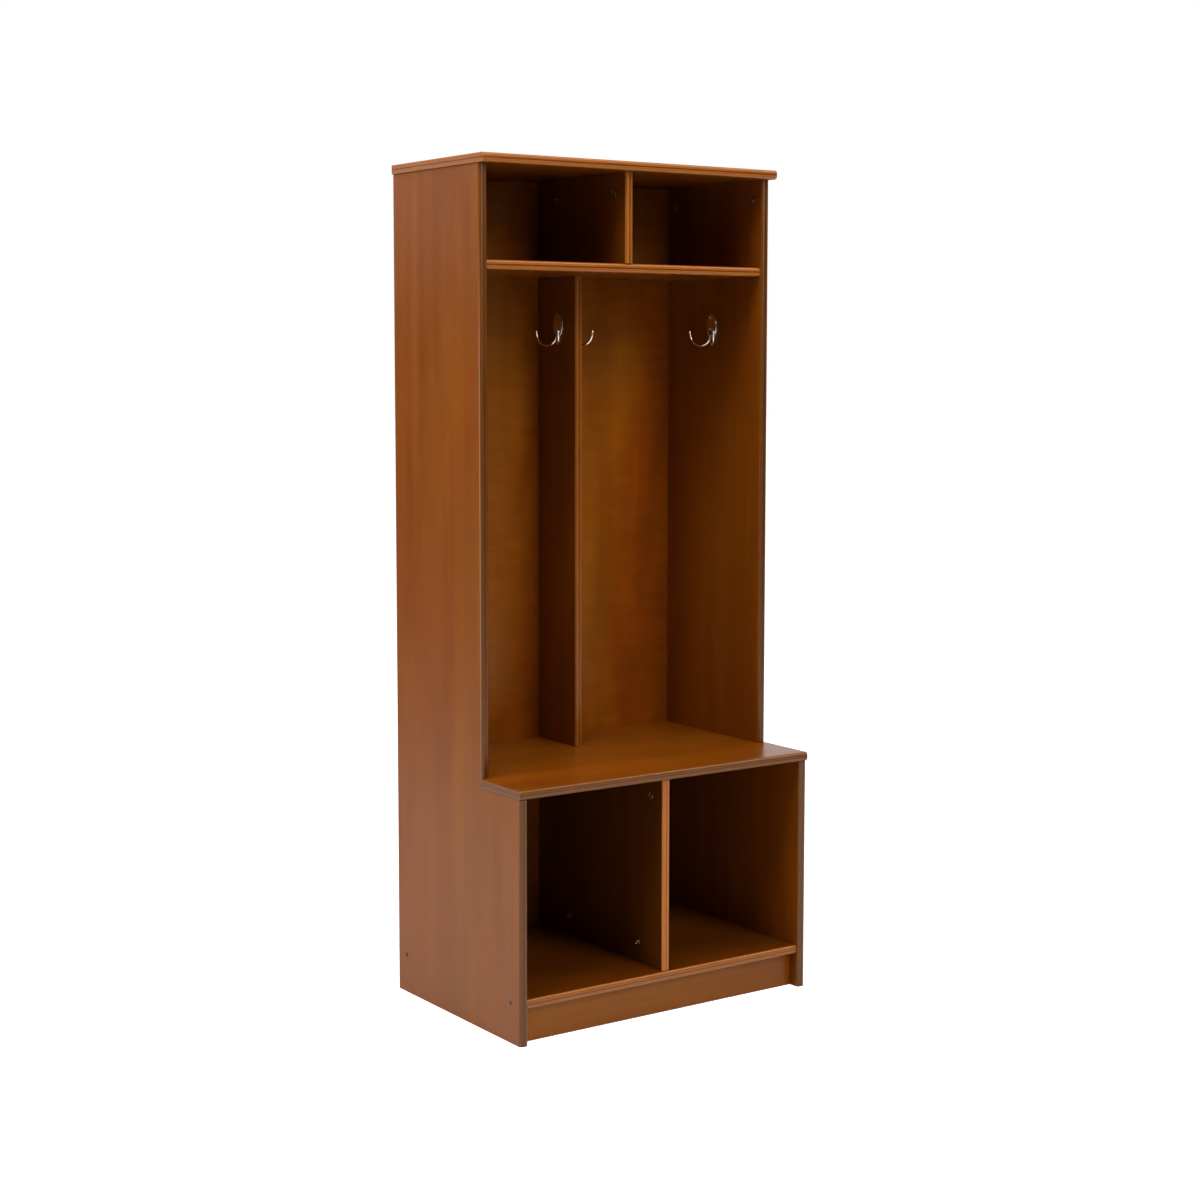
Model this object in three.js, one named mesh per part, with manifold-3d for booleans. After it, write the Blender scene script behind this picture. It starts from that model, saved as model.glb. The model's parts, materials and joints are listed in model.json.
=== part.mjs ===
// Open coat locker with a bench: an upright plywood case with two hat cubbies, two hanging bays with
// double-pronged hooks, a bench seat, two shoe cubbies and a recessed kick plate. The boards are joined
// by cam locks, wooden dowels and confirmat screws.
//
// Millimetres, +Z up. The origin is on the floor, under the middle of the case's bounding box.
// -Y is the open front, +Y is the back, -X is the left as the user sees it.

import * as THREE from "three";
import { mergeVertices } from "three/addons/utils/BufferGeometryUtils.js";
import Module from "manifold-3d";

const wasm = await Module();
wasm.setup();

// ---- Driving dimensions: the case ----
const CASE_WIDTH = 688; // across the outer faces of the side panels
const CASE_HEIGHT = 1650; // floor to the top face of the top board
const UPPER_DEPTH = 321; // side panels above the bench, rear edge to front edge
const LOWER_DEPTH = 453; // side panels below the bench
const BENCH_HEIGHT = 483; // floor to the top face of the bench
const HAT_CUBBY_HEIGHT = 176; // clear height between hat shelf and top board
const PLINTH_HEIGHT = 68; // floor to the underside of the bottom shelf
const BOARD = 18; // thickness of every board except the back
const BACK_BOARD = 6; // thickness of the back panels

const TOP_OVERHANG_SIDE = 4;
const TOP_OVERHANG_FRONT = 20;
const BENCH_OVERHANG_SIDE = 1;
const BENCH_OVERHANG_FRONT = 3;
const HAT_SHELF_SETBACK = 5; // behind the front edges of the upper side panels
const HAT_DIVIDER_SETBACK = 4;
const COAT_DIVIDER_DEPTH = 137; // out from the back panel
const SHOE_DIVIDER_SETBACK = 10; // behind the front edges of the lower side panels
const BOTTOM_SHELF_SETBACK = 5;
const KICK_SETBACK = 24;

const BACK_INSET = 0.7; // back panels' rear faces in front of the side panels' rear edges
const REBATE_WIDTH = 9; // of the step in the side panels' rear edges that takes the back panels
const EDGE_ROUND = 6; // radius on the two front arrises of a board
const CORNER_ROUND = 3; // radius of the front corners of top board and bench, seen from above

const SEAM = 0.3; // gap between boards that meet, and round anything in a close hole

// ---- Driving dimensions: fittings ----
const CAM_RADIUS = 7.5;
const CAM_SETBACK = 39; // cam axis to the end of its board
const CAM_BELOW_AXIS = 5; // cam body deeper than the bolt's axis
const CAM_CORE = 1.8; // radius left in the middle of the cam
const CAM_WALL = 1.4; // thickness of the cam's rim
const CAM_RECESS_DEPTH = 2.5;
const CAM_RECESS_LENGTH = 7;
const CAM_RECESS_WIDTH = 1.5;
const CAM_TURN = 180; // degrees from locked to open
const CAM_SLOT_SPARE = 20; // degrees of slot past either end of the turn

const BOLT_HEAD_RADIUS = 3.1;
const BOLT_NECK_RADIUS = 1.5;
const BOLT_NECK_PAST_CAM = 2.3; // the neck goes on this far past the cam's rim
const BOLT_SHANK_RADIUS = 3.4;
const BOLT_THREAD_RADIUS = 3;
const BOLT_BITE = 11; // length of bolt in the joined board
const BOLT_CLEARANCE = 0.4; // between the bolt's head and neck and the cam that turns round them

const DOWEL_RADIUS = 4;
const DOWEL_IN_FACE = 11; // length of dowel in the face of a board
const DOWEL_IN_END = 19; // length of dowel in the end of a board
const DOWEL_CHAMFER = 1;
const HOLE_SPARE = 1; // a blind hole is this much deeper than what stands in it

const CONFIRMAT_HEAD_RADIUS = 4.8;
const CONFIRMAT_HEAD_DEPTH = 2.5;
const CONFIRMAT_SHANK_RADIUS = 3.4;
const CONFIRMAT_THREAD_RADIUS = 2.9;
const CONFIRMAT_LENGTH = 50;
const CONFIRMAT_TIP = 4;
const CONFIRMAT_SOCKET_RADIUS = 2.3; // hexagon socket, across its corners
const CONFIRMAT_SOCKET_DEPTH = 2;

// ---- Driving dimensions: coat hooks ----
const HOOK_DROP = 98; // underside of the hat shelf to the middle of a hook plate
const HOOK_PLATE_WIDTH = 34;
const HOOK_PLATE_HEIGHT = 50;
const HOOK_PLATE_THICKNESS = 3.5;
const HOOK_PLATE_BEVEL = 1.2;
const HOOK_REACH = 28; // wall to the middle of a prong's tip
const HOOK_SPREAD = 40; // middle of the plate to the middle of a prong's tip, along the wall
const HOOK_DIP = 40; // middle of the plate down to a prong's lowest point
const HOOK_TIP_DROP = 12; // middle of the plate down to a prong's tip
const HOOK_WIRE_RADIUS = 2.4;
const HOOK_BALL_RADIUS = 3.4;
const HOOK_ROOT_DROP = 17; // middle of the plate down to the root of the prongs
const HOOK_ROOT_RADIUS = 5.5;
const HOOK_SCREW_PITCH = 24;
const HOOK_SCREW_RAISE = 5; // middle of the screw pair above the middle of the plate

const SCREW_HEAD_RADIUS = 3.3;
const SCREW_HEAD_DEPTH = 2;
const SCREW_SHANK_RADIUS = 1.7;
const SCREW_LENGTH = 14;
const SCREW_RECESS_LENGTH = 3.4;
const SCREW_RECESS_WIDTH = 0.8;
const SCREW_RECESS_DEPTH = 1.1;

// ---- Where the fittings sit, measured from the rear edges of the side panels unless said ----
const SIDE_CAM_FROM_REAR = 31;
const SIDE_CAM_FROM_FRONT = 35;
const HAT_CAM_FROM_REAR = 77;
const HAT_CAM_FROM_FRONT = 40; // from the hat divider's own front edge
const SHOE_CAM_FROM_REAR = 120;
const SHOE_TOP_CAM_FROM_FRONT = 40; // from the shoe divider's own front edge
const SHOE_BOTTOM_CAM_FROM_FRONT = 83;
const CONFIRMAT_FROM_REAR = 32;
const CONFIRMAT_FROM_FRONT = 34;
const DOWEL_FROM_EDGE = 45; // dowels in the hat shelf and under the hat divider, from either edge
const SIDE_HOOK_FROM_REAR = 160;
const DIVIDER_LEFT_HOOK_FROM_REAR = 83;
const DIVIDER_RIGHT_HOOK_FROM_REAR = 96; // not level with its neighbour, so that their screws pass

// ---- Fineness of the curves ----
const ARC_STEPS = 4;
const ROUND_SIDES = 10;
const CAM_SIDES = 20;
const PLATE_STEPS = 12;
const WIRE_STEPS = 10;
const WIRE_SIDES = 8;
const BALL_ROWS = 6;

// ---- Levels and planes worked out from the dimensions ----
const OUTER_X = CASE_WIDTH / 2;
const INNER_X = OUTER_X - BOARD;
const TOTAL_DEPTH = Math.max(LOWER_DEPTH + BENCH_OVERHANG_FRONT, UPPER_DEPTH + TOP_OVERHANG_FRONT);
const REAR_Y = TOTAL_DEPTH / 2;
const fromRear = (distance) => REAR_Y - distance;

const TOP_UNDERSIDE = CASE_HEIGHT - BOARD;
const SIDE_TOP = TOP_UNDERSIDE - SEAM;
const HAT_SHELF_TOP = TOP_UNDERSIDE - HAT_CUBBY_HEIGHT;
const HAT_SHELF_UNDERSIDE = HAT_SHELF_TOP - BOARD;
const BENCH_UNDERSIDE = BENCH_HEIGHT - BOARD;
const LEDGE_TOP = BENCH_UNDERSIDE - SEAM;
const BOTTOM_SHELF_TOP = PLINTH_HEIGHT + BOARD;
const BACK_SPLIT = HAT_SHELF_UNDERSIDE + BOARD / 2; // the two back panels meet behind the hat shelf
const REBATE_DEPTH = BACK_BOARD + BACK_INSET + SEAM;
const CAM_DEPTH = BOARD / 2 + CAM_BELOW_AXIS;
const CHAMBER_RADIUS = CAM_RADIUS - CAM_WALL;
const CHAMBER_HALF = BOLT_HEAD_RADIUS + BOLT_CLEARANCE;
const CHANNEL_RADIUS = BOLT_SHANK_RADIUS + BOLT_CLEARANCE;
const BOLT_HEAD_START = CAM_CORE + BOLT_CLEARANCE; // from the cam's axis
const BOLT_NECK_START = Math.sqrt((CHAMBER_RADIUS - BOLT_CLEARANCE) ** 2 - BOLT_HEAD_RADIUS ** 2);

const X_AXIS = new THREE.Vector3(1, 0, 0);
const Y_AXIS = new THREE.Vector3(0, 1, 0);
const Z_AXIS = new THREE.Vector3(0, 0, 1);
const opposite = (direction) => direction.clone().negate();

// ---- Finishes ----
const finish = (color, roughness, metalness) =>
  new THREE.MeshStandardMaterial({ color, roughness, metalness });
const STAINED_BIRCH = finish(0x94592f, 0.42, 0);
const BACK_BIRCH = finish(0x8a5220, 0.4, 0);
const BEECH = finish(0xc9a070, 0.8, 0);
const ZINC = finish(0xa9a49c, 0.45, 1);
const STEEL = finish(0xb4b4b2, 0.35, 1);
const CHROME = finish(0xd8d6d2, 0.12, 1);

// ---- Solids ----

// A closed three.js geometry as a solid that can be joined and cut.
function solidOf(geometry) {
  const bare = geometry.clone();
  for (const name of Object.keys(bare.attributes)) {
    if (name !== "position") bare.deleteAttribute(name);
  }
  const merged = mergeVertices(bare);
  return new wasm.Manifold(
    new wasm.Mesh({
      numProp: 3,
      vertProperties: merged.attributes.position.array,
      triVerts: new Uint32Array(merged.index.array),
    }),
  );
}

// A solid as a three.js geometry.
function geometryOf(solid) {
  const { vertProperties, triVerts } = solid.getMesh();
  return new THREE.BufferGeometry()
    .setAttribute("position", new THREE.BufferAttribute(vertProperties, 3))
    .setIndex(new THREE.BufferAttribute(triVerts, 1));
}

function joined(...geometries) {
  return geometries.map(solidOf).reduce((whole, piece) => whole.add(piece));
}

function cut(solid, ...cutters) {
  return cutters.map(solidOf).reduce((rest, cutter) => rest.subtract(cutter), solid);
}

// A block between two opposite corners.
function block([x0, y0, z0], [x1, y1, z1]) {
  return new THREE.BoxGeometry(x1 - x0, y1 - y0, z1 - z0).translate(
    (x0 + x1) / 2,
    (y0 + y1) / 2,
    (z0 + z1) / 2,
  );
}

// A profile of [radius, height] pairs, listed upwards, turned about +Z.
function turned(profile, sides) {
  const points = profile.map(([radius, height]) => new THREE.Vector2(radius, height));
  return new THREE.LatheGeometry(points, sides).rotateX(Math.PI / 2);
}

function rod(radius, bottom, top, sides = ROUND_SIDES) {
  const profile = [
    [0, bottom],
    [radius, bottom],
    [radius, top],
    [0, top],
  ];
  return turned(profile, sides);
}

// A geometry made along +Z, moved to a point and turned to run along a direction.
function aimed(geometry, place, direction) {
  const turn = new THREE.Quaternion().setFromUnitVectors(Z_AXIS, direction);
  return geometry.clone().applyQuaternion(turn).translate(place.x, place.y, place.z);
}

// A cross for a screwdriver, sunk below z = 0.
function crossRecess(length, width, depth) {
  const [half, thin] = [length / 2, width / 2];
  return [
    block([-half, -thin, -depth], [half, thin, depth]),
    block([-thin, -half, -depth], [thin, half, depth]),
  ];
}

// ---- Boards ----

// The section of a board whose two front arrises are rounded: x runs forwards from the rear edge, y
// runs through the thickness.
function noseSection(depth, thickness) {
  const round = Math.min(EDGE_ROUND, thickness / 2);
  const section = new THREE.Shape();
  section.moveTo(0, 0);
  section.lineTo(depth - round, 0);
  section.absarc(depth - round, round, round, -Math.PI / 2, 0, false);
  section.lineTo(depth, thickness - round);
  section.absarc(depth - round, thickness - round, round, 0, Math.PI / 2, false);
  section.lineTo(0, thickness);
  return section;
}

function extruded(shape, length) {
  return new THREE.ExtrudeGeometry(shape, {
    depth: length,
    bevelEnabled: false,
    curveSegments: ARC_STEPS,
  });
}

// An upright board that runs front to back, from its left face, rear edge and foot.
function upright(leftX, rearY, bottomZ, depth, height) {
  const frame = new THREE.Matrix4().makeBasis(opposite(Y_AXIS), X_AXIS, Z_AXIS);
  return extruded(noseSection(depth, BOARD), height)
    .applyMatrix4(frame)
    .translate(leftX, rearY, bottomZ);
}

// A level board that runs left to right, centred on x = 0, from its rear edge and underside.
function level(rearY, bottomZ, depth, width) {
  const frame = new THREE.Matrix4().makeBasis(opposite(Y_AXIS), Z_AXIS, opposite(X_AXIS));
  return extruded(noseSection(depth, BOARD), width)
    .applyMatrix4(frame)
    .translate(width / 2, rearY, bottomZ);
}

// The same outline seen from above for a board with rounded front corners, as a solid to intersect.
function roundedPlan(rearY, bottomZ, depth, width) {
  const half = width / 2;
  const frontY = rearY - depth;
  const plan = new THREE.Shape();
  plan.moveTo(half, rearY);
  plan.lineTo(-half, rearY);
  plan.lineTo(-half, frontY + CORNER_ROUND);
  plan.absarc(-half + CORNER_ROUND, frontY + CORNER_ROUND, CORNER_ROUND, Math.PI, 1.5 * Math.PI);
  plan.lineTo(half - CORNER_ROUND, frontY);
  plan.absarc(half - CORNER_ROUND, frontY + CORNER_ROUND, CORNER_ROUND, 1.5 * Math.PI, 2 * Math.PI);
  return extruded(plan, BOARD).translate(0, 0, bottomZ);
}

function cornered(rearY, bottomZ, depth, width) {
  const board = solidOf(level(rearY, bottomZ, depth, width));
  return board.intersect(solidOf(roundedPlan(rearY, bottomZ, depth, width)));
}

// side is -1 for the left panel and 1 for the right one.
function sidePanel(side) {
  const leftX = side < 0 ? -OUTER_X : INNER_X;
  const rebate = block(
    [Math.min(side * INNER_X, side * (INNER_X + REBATE_WIDTH)), fromRear(REBATE_DEPTH), -BOARD],
    [Math.max(side * INNER_X, side * (INNER_X + REBATE_WIDTH)), REAR_Y + BOARD, CASE_HEIGHT],
  );
  return cut(
    joined(
      upright(leftX, REAR_Y, 0, UPPER_DEPTH, SIDE_TOP),
      upright(leftX, REAR_Y, 0, LOWER_DEPTH, LEDGE_TOP),
    ),
    rebate,
  );
}

function topBoard() {
  const width = CASE_WIDTH + 2 * TOP_OVERHANG_SIDE;
  return cornered(REAR_Y, TOP_UNDERSIDE, UPPER_DEPTH + TOP_OVERHANG_FRONT, width);
}

// The bench fits between the side panels behind their upper front edges, and covers their lower
// halves in front of them.
function benchSeat() {
  const width = CASE_WIDTH + 2 * BENCH_OVERHANG_SIDE;
  const whole = cornered(
    fromRear(REBATE_DEPTH),
    BENCH_UNDERSIDE,
    LOWER_DEPTH + BENCH_OVERHANG_FRONT - REBATE_DEPTH,
    width,
  );
  const notch = (inner, outer) =>
    block([inner, fromRear(UPPER_DEPTH + SEAM), 0], [outer, REAR_Y, CASE_HEIGHT]);
  return cut(whole, notch(INNER_X - SEAM, width), notch(-width, -INNER_X + SEAM));
}

function shelf(underside, depth) {
  const width = 2 * (INNER_X - SEAM);
  return solidOf(level(fromRear(REBATE_DEPTH), underside, depth - REBATE_DEPTH, width));
}

// A divider stands in the middle of the case between two levels, clear of both by the seam.
function divider(bottomZ, topZ, depth) {
  const height = topZ - bottomZ - 2 * SEAM;
  return solidOf(upright(-BOARD / 2, fromRear(REBATE_DEPTH), bottomZ + SEAM, depth, height));
}

function kickPlate() {
  const frontY = fromRear(LOWER_DEPTH - KICK_SETBACK);
  return solidOf(
    block([-INNER_X + SEAM, frontY, 0], [INNER_X - SEAM, frontY + BOARD, PLINTH_HEIGHT - SEAM]),
  );
}

function backPanel(bottomZ, topZ) {
  const frontY = fromRear(REBATE_DEPTH - SEAM);
  const half = INNER_X + REBATE_WIDTH - SEAM;
  return solidOf(block([-half, frontY, bottomZ], [half, frontY + BACK_BOARD, topZ]));
}

const HAT_SHELF_DEPTH = UPPER_DEPTH - HAT_SHELF_SETBACK;
const HAT_DIVIDER_FRONT = UPPER_DEPTH - HAT_DIVIDER_SETBACK;
const SHOE_DIVIDER_FRONT = LOWER_DEPTH - SHOE_DIVIDER_SETBACK;

const boards = {
  left_side_panel: sidePanel(-1),
  right_side_panel: sidePanel(1),
  top_board: topBoard(),
  bench_seat: benchSeat(),
  hat_shelf: shelf(HAT_SHELF_UNDERSIDE, HAT_SHELF_DEPTH),
  bottom_shelf: shelf(PLINTH_HEIGHT, LOWER_DEPTH - BOTTOM_SHELF_SETBACK),
  hat_divider: divider(HAT_SHELF_TOP, TOP_UNDERSIDE, HAT_DIVIDER_FRONT - REBATE_DEPTH),
  coat_divider: divider(BENCH_HEIGHT, HAT_SHELF_UNDERSIDE, COAT_DIVIDER_DEPTH),
  shoe_divider: divider(BOTTOM_SHELF_TOP, BENCH_UNDERSIDE, SHOE_DIVIDER_FRONT - REBATE_DEPTH),
  kick_plate: kickPlate(),
  upper_back_panel: backPanel(BACK_SPLIT + SEAM / 2, TOP_UNDERSIDE - SEAM),
  lower_back_panel: backPanel(PLINTH_HEIGHT, BACK_SPLIT - SEAM / 2),
};

function drill(name, ...cutters) {
  boards[name] = cut(boards[name], ...cutters);
}

// ---- Fittings, each made at its own origin ----

const fittings = new THREE.Group();

function addFitting(name, geometry, material, parent = fittings) {
  const mesh = new THREE.Mesh(geometry, material);
  mesh.name = name;
  parent.add(mesh);
  return mesh;
}

// The cam's face is at z = 0 and its body below, and the bolt comes in along +X when it is locked. A
// ring-shaped chamber lets the bolt's head stay put while the cam turns, a slot in the rim lets its
// neck through, and at the open end of the slot a hole is wide enough for the head.
function camGeometry() {
  const axisZ = -BOARD / 2;
  const neckHalf = BOLT_NECK_RADIUS + BOLT_CLEARANCE;
  const chamber = turned(
    [
      [CAM_CORE, axisZ - CHAMBER_HALF],
      [CHAMBER_RADIUS, axisZ - CHAMBER_HALF],
      [CHAMBER_RADIUS, axisZ + CHAMBER_HALF],
      [CAM_CORE, axisZ + CHAMBER_HALF],
      [CAM_CORE, axisZ - CHAMBER_HALF],
    ],
    CAM_SIDES,
  );
  const from = THREE.MathUtils.degToRad(-CAM_TURN - CAM_SLOT_SPARE);
  const to = THREE.MathUtils.degToRad(CAM_SLOT_SPARE);
  const beyondRim = CAM_RADIUS + CAM_WALL;
  const slotOutline = new THREE.Shape();
  slotOutline.absarc(0, 0, beyondRim, from, to, false);
  slotOutline.absarc(0, 0, CHAMBER_RADIUS - SEAM, to, from, true);
  const slot = new THREE.ExtrudeGeometry(slotOutline, {
    depth: 2 * neckHalf,
    bevelEnabled: false,
    curveSegments: CAM_SIDES / 2,
  }).translate(0, 0, axisZ - neckHalf);
  const doorway = aimed(
    rod(CHAMBER_HALF, BOLT_HEAD_START, beyondRim),
    new THREE.Vector3(0, 0, axisZ),
    opposite(X_AXIS),
  );
  const recess = crossRecess(CAM_RECESS_LENGTH, CAM_RECESS_WIDTH, CAM_RECESS_DEPTH);
  const disc = solidOf(rod(CAM_RADIUS, -CAM_DEPTH, 0, CAM_SIDES));
  return geometryOf(cut(disc, chamber, slot, doorway, ...recess));
}

// The bolt lies along +Z with the cam's axis at z = 0 and its thread past the end of the cam's board.
function boltGeometry() {
  const shankStart = CAM_RADIUS + BOLT_NECK_PAST_CAM;
  const tip = CAM_SETBACK + BOLT_BITE;
  return turned(
    [
      [0, BOLT_HEAD_START],
      [BOLT_HEAD_RADIUS, BOLT_HEAD_START],
      [BOLT_HEAD_RADIUS, BOLT_NECK_START],
      [BOLT_NECK_RADIUS, BOLT_NECK_START],
      [BOLT_NECK_RADIUS, shankStart],
      [BOLT_SHANK_RADIUS, shankStart],
      [BOLT_SHANK_RADIUS, CAM_SETBACK],
      [BOLT_THREAD_RADIUS, CAM_SETBACK],
      [BOLT_THREAD_RADIUS, tip - BOLT_THREAD_RADIUS],
      [BOLT_THREAD_RADIUS / 2, tip],
      [0, tip],
    ],
    ROUND_SIDES,
  );
}

const CAM_GEOMETRY = camGeometry();
const BOLT_GEOMETRY = boltGeometry();

// A cam lock in board host, at a point on its face. out is the face's normal, towards is the way to
// the board mate, which the bolt screws into.
function addCamLock(label, host, mate, place, out, towards) {
  const turn = new THREE.Matrix4().makeBasis(towards, out.clone().cross(towards), out);
  const cam = addFitting(`cam_${label}`, CAM_GEOMETRY, ZINC);
  cam.quaternion.setFromRotationMatrix(turn);
  cam.position.copy(place);

  const boltOrigin = place.clone().addScaledVector(out, -BOARD / 2);
  const bolt = addFitting(`cam_bolt_${label}`, BOLT_GEOMETRY, STEEL);
  bolt.quaternion.setFromUnitVectors(Z_AXIS, towards);
  bolt.position.copy(boltOrigin);

  const pocket = rod(CAM_RADIUS + SEAM, -CAM_DEPTH - SEAM, BOARD, CAM_SIDES);
  const channel = rod(CHANNEL_RADIUS, CAM_CORE, CAM_SETBACK + BOARD);
  const threadHole = rod(BOLT_THREAD_RADIUS + SEAM, CAM_SETBACK, CAM_SETBACK + BOLT_BITE + HOLE_SPARE);
  drill(host, aimed(pocket, place, out), aimed(channel, boltOrigin, towards));
  drill(mate, aimed(threadHole, boltOrigin, towards));
}

// A dowel across the joint between the end of one board and the face of another. place is in the
// joint, and into points from the end into the face.
function addDowel(label, endBoard, faceBoard, place, into) {
  const [bottom, top] = [-DOWEL_IN_END, DOWEL_IN_FACE];
  const geometry = turned(
    [
      [0, bottom],
      [DOWEL_RADIUS - DOWEL_CHAMFER, bottom],
      [DOWEL_RADIUS, bottom + DOWEL_CHAMFER],
      [DOWEL_RADIUS, top - DOWEL_CHAMFER],
      [DOWEL_RADIUS - DOWEL_CHAMFER, top],
      [0, top],
    ],
    ROUND_SIDES,
  );
  const dowel = addFitting(`dowel_${label}`, geometry, BEECH);
  dowel.quaternion.setFromUnitVectors(Z_AXIS, into);
  dowel.position.copy(place);
  const hole = aimed(rod(DOWEL_RADIUS + SEAM, bottom - HOLE_SPARE, top + HOLE_SPARE), place, into);
  drill(endBoard, hole);
  drill(faceBoard, hole);
}

// A countersunk screw below z = 0, and with a spare radius the hole it stands in, open above.
function screwBody({ headRadius, headDepth, shankRadius, threadRadius, shankEnd, length }, spare) {
  const profile = [
    [0, -length - spare],
    [threadRadius / 2 + spare, -length - spare],
    [threadRadius + spare, threadRadius / 2 - length],
    [threadRadius + spare, -shankEnd - spare],
    [shankRadius + spare, -shankEnd - spare],
    [shankRadius + spare, -headDepth - spare],
    [headRadius + spare, 0],
  ];
  if (spare > 0) profile.push([headRadius + spare, BOARD], [0, BOARD]);
  else profile.push([0, 0]);
  return turned(profile, ROUND_SIDES);
}

const CONFIRMAT = {
  headRadius: CONFIRMAT_HEAD_RADIUS,
  headDepth: CONFIRMAT_HEAD_DEPTH,
  shankRadius: CONFIRMAT_SHANK_RADIUS,
  threadRadius: CONFIRMAT_THREAD_RADIUS,
  shankEnd: BOARD,
  length: CONFIRMAT_LENGTH,
};
const CONFIRMAT_SOCKET = rod(CONFIRMAT_SOCKET_RADIUS, -CONFIRMAT_SOCKET_DEPTH, BOARD, 6);
const CONFIRMAT_GEOMETRY = geometryOf(cut(solidOf(screwBody(CONFIRMAT, 0)), CONFIRMAT_SOCKET));

// A confirmat screw through the face of a side panel into the end of the bottom shelf. Its head is
// flush at place, and out is the face's normal.
function addConfirmat(label, sideBoard, place, out) {
  const screw = addFitting(`confirmat_${label}`, CONFIRMAT_GEOMETRY, STEEL);
  screw.quaternion.setFromUnitVectors(Z_AXIS, out);
  screw.position.copy(place);
  const hole = aimed(screwBody(CONFIRMAT, SEAM), place, out);
  drill(sideBoard, hole);
  drill("bottom_shelf", hole);
}

// ---- Coat hooks: x along the wall, y out from it, z up, from the middle of the plate ----

const PLATE_FRONT = SEAM + HOOK_PLATE_THICKNESS;
const HOOK_SCREW = {
  headRadius: SCREW_HEAD_RADIUS,
  headDepth: SCREW_HEAD_DEPTH,
  shankRadius: SCREW_SHANK_RADIUS,
  threadRadius: SCREW_SHANK_RADIUS,
  shankEnd: HOOK_PLATE_THICKNESS,
  length: SCREW_LENGTH,
};
const HOOK_SCREW_PLACES = { upper: 1, lower: -1 };
const hookScrewHeight = (end) => HOOK_SCREW_RAISE + (end * HOOK_SCREW_PITCH) / 2;

function hookPlate() {
  const outline = new THREE.Shape();
  outline.absellipse(0, 0, HOOK_PLATE_WIDTH / 2, HOOK_PLATE_HEIGHT / 2, 0, 2 * Math.PI);
  return new THREE.ExtrudeGeometry(outline, {
    depth: HOOK_PLATE_THICKNESS - 2 * HOOK_PLATE_BEVEL,
    bevelThickness: HOOK_PLATE_BEVEL,
    bevelSize: HOOK_PLATE_BEVEL,
    bevelOffset: -HOOK_PLATE_BEVEL,
    bevelSegments: 1,
    curveSegments: PLATE_STEPS,
  })
    .translate(0, 0, HOOK_PLATE_BEVEL + SEAM)
    .rotateX(-Math.PI / 2);
}

// A prong drops from its root, swings out along the wall and rises to a ball. The two middle control
// points hang low enough for the curve to bottom out at the dip.
function prong(side) {
  const low = (8 * HOOK_DIP - HOOK_ROOT_DROP - HOOK_TIP_DROP) / 6;
  const rootX = side * HOOK_WIRE_RADIUS;
  const route = new THREE.CubicBezierCurve3(
    new THREE.Vector3(rootX, PLATE_FRONT, -HOOK_ROOT_DROP),
    new THREE.Vector3(rootX, PLATE_FRONT, -low),
    new THREE.Vector3(side * HOOK_SPREAD, HOOK_REACH, -low),
    new THREE.Vector3(side * HOOK_SPREAD, HOOK_REACH, -HOOK_TIP_DROP),
  );
  const section = new THREE.Shape();
  section.absarc(0, 0, HOOK_WIRE_RADIUS, 0, 2 * Math.PI);
  return new THREE.ExtrudeGeometry(section, {
    steps: WIRE_STEPS,
    extrudePath: route,
    curveSegments: WIRE_SIDES / 2,
  });
}

function ball(side) {
  const sphere = new THREE.SphereGeometry(HOOK_BALL_RADIUS, ROUND_SIDES, BALL_ROWS);
  return sphere.translate(side * HOOK_SPREAD, HOOK_REACH, -HOOK_TIP_DROP);
}

function hookRoot() {
  const rise = Math.min(1, HOOK_PLATE_THICKNESS / HOOK_ROOT_RADIUS);
  return new THREE.SphereGeometry(HOOK_ROOT_RADIUS, ROUND_SIDES, BALL_ROWS)
    .scale(1, rise, 1)
    .translate(0, PLATE_FRONT, -HOOK_ROOT_DROP);
}

function hookGeometry() {
  const whole = joined(hookPlate(), hookRoot(), prong(-1), prong(1), ball(-1), ball(1));
  const holes = Object.values(HOOK_SCREW_PLACES).map((end) =>
    aimed(
      screwBody(HOOK_SCREW, SEAM),
      new THREE.Vector3(0, PLATE_FRONT, hookScrewHeight(end)),
      Y_AXIS,
    ),
  );
  return geometryOf(cut(whole, ...holes));
}

const HOOK_GEOMETRY = hookGeometry();
const HOOK_SCREW_GEOMETRY = geometryOf(
  cut(
    solidOf(screwBody(HOOK_SCREW, 0)),
    ...crossRecess(SCREW_RECESS_LENGTH, SCREW_RECESS_WIDTH, SCREW_RECESS_DEPTH),
  ),
);

// A hook and its two screws on the face of a board whose normal is +X or -X (out is 1 or -1).
function addHook(label, board, faceX, distanceFromRear, out) {
  const middle = new THREE.Vector3(faceX, fromRear(distanceFromRear), HAT_SHELF_UNDERSIDE - HOOK_DROP);
  const hook = new THREE.Group();
  hook.position.copy(middle);
  hook.rotation.z = (-out * Math.PI) / 2;
  fittings.add(hook);
  addFitting(`coat_hook_${label}`, HOOK_GEOMETRY, CHROME, hook);
  const normal = new THREE.Vector3(out, 0, 0);
  for (const [name, end] of Object.entries(HOOK_SCREW_PLACES)) {
    const screw = addFitting(`hook_screw_${label}_${name}`, HOOK_SCREW_GEOMETRY, STEEL, hook);
    screw.position.set(0, PLATE_FRONT, hookScrewHeight(end));
    screw.rotation.x = -Math.PI / 2;
    const head = middle.clone().addScaledVector(normal, PLATE_FRONT);
    head.z += hookScrewHeight(end);
    drill(board, aimed(screwBody(HOOK_SCREW, SEAM), head, normal));
  }
}

// ---- Assembly ----

const at = (x, distanceFromRear, z) => new THREE.Vector3(x, fromRear(distanceFromRear), z);
const DOWN = opposite(Z_AXIS);
const LEFT = opposite(X_AXIS);
const DIVIDER_LEFT = -BOARD / 2; // the left face of a divider

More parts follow.
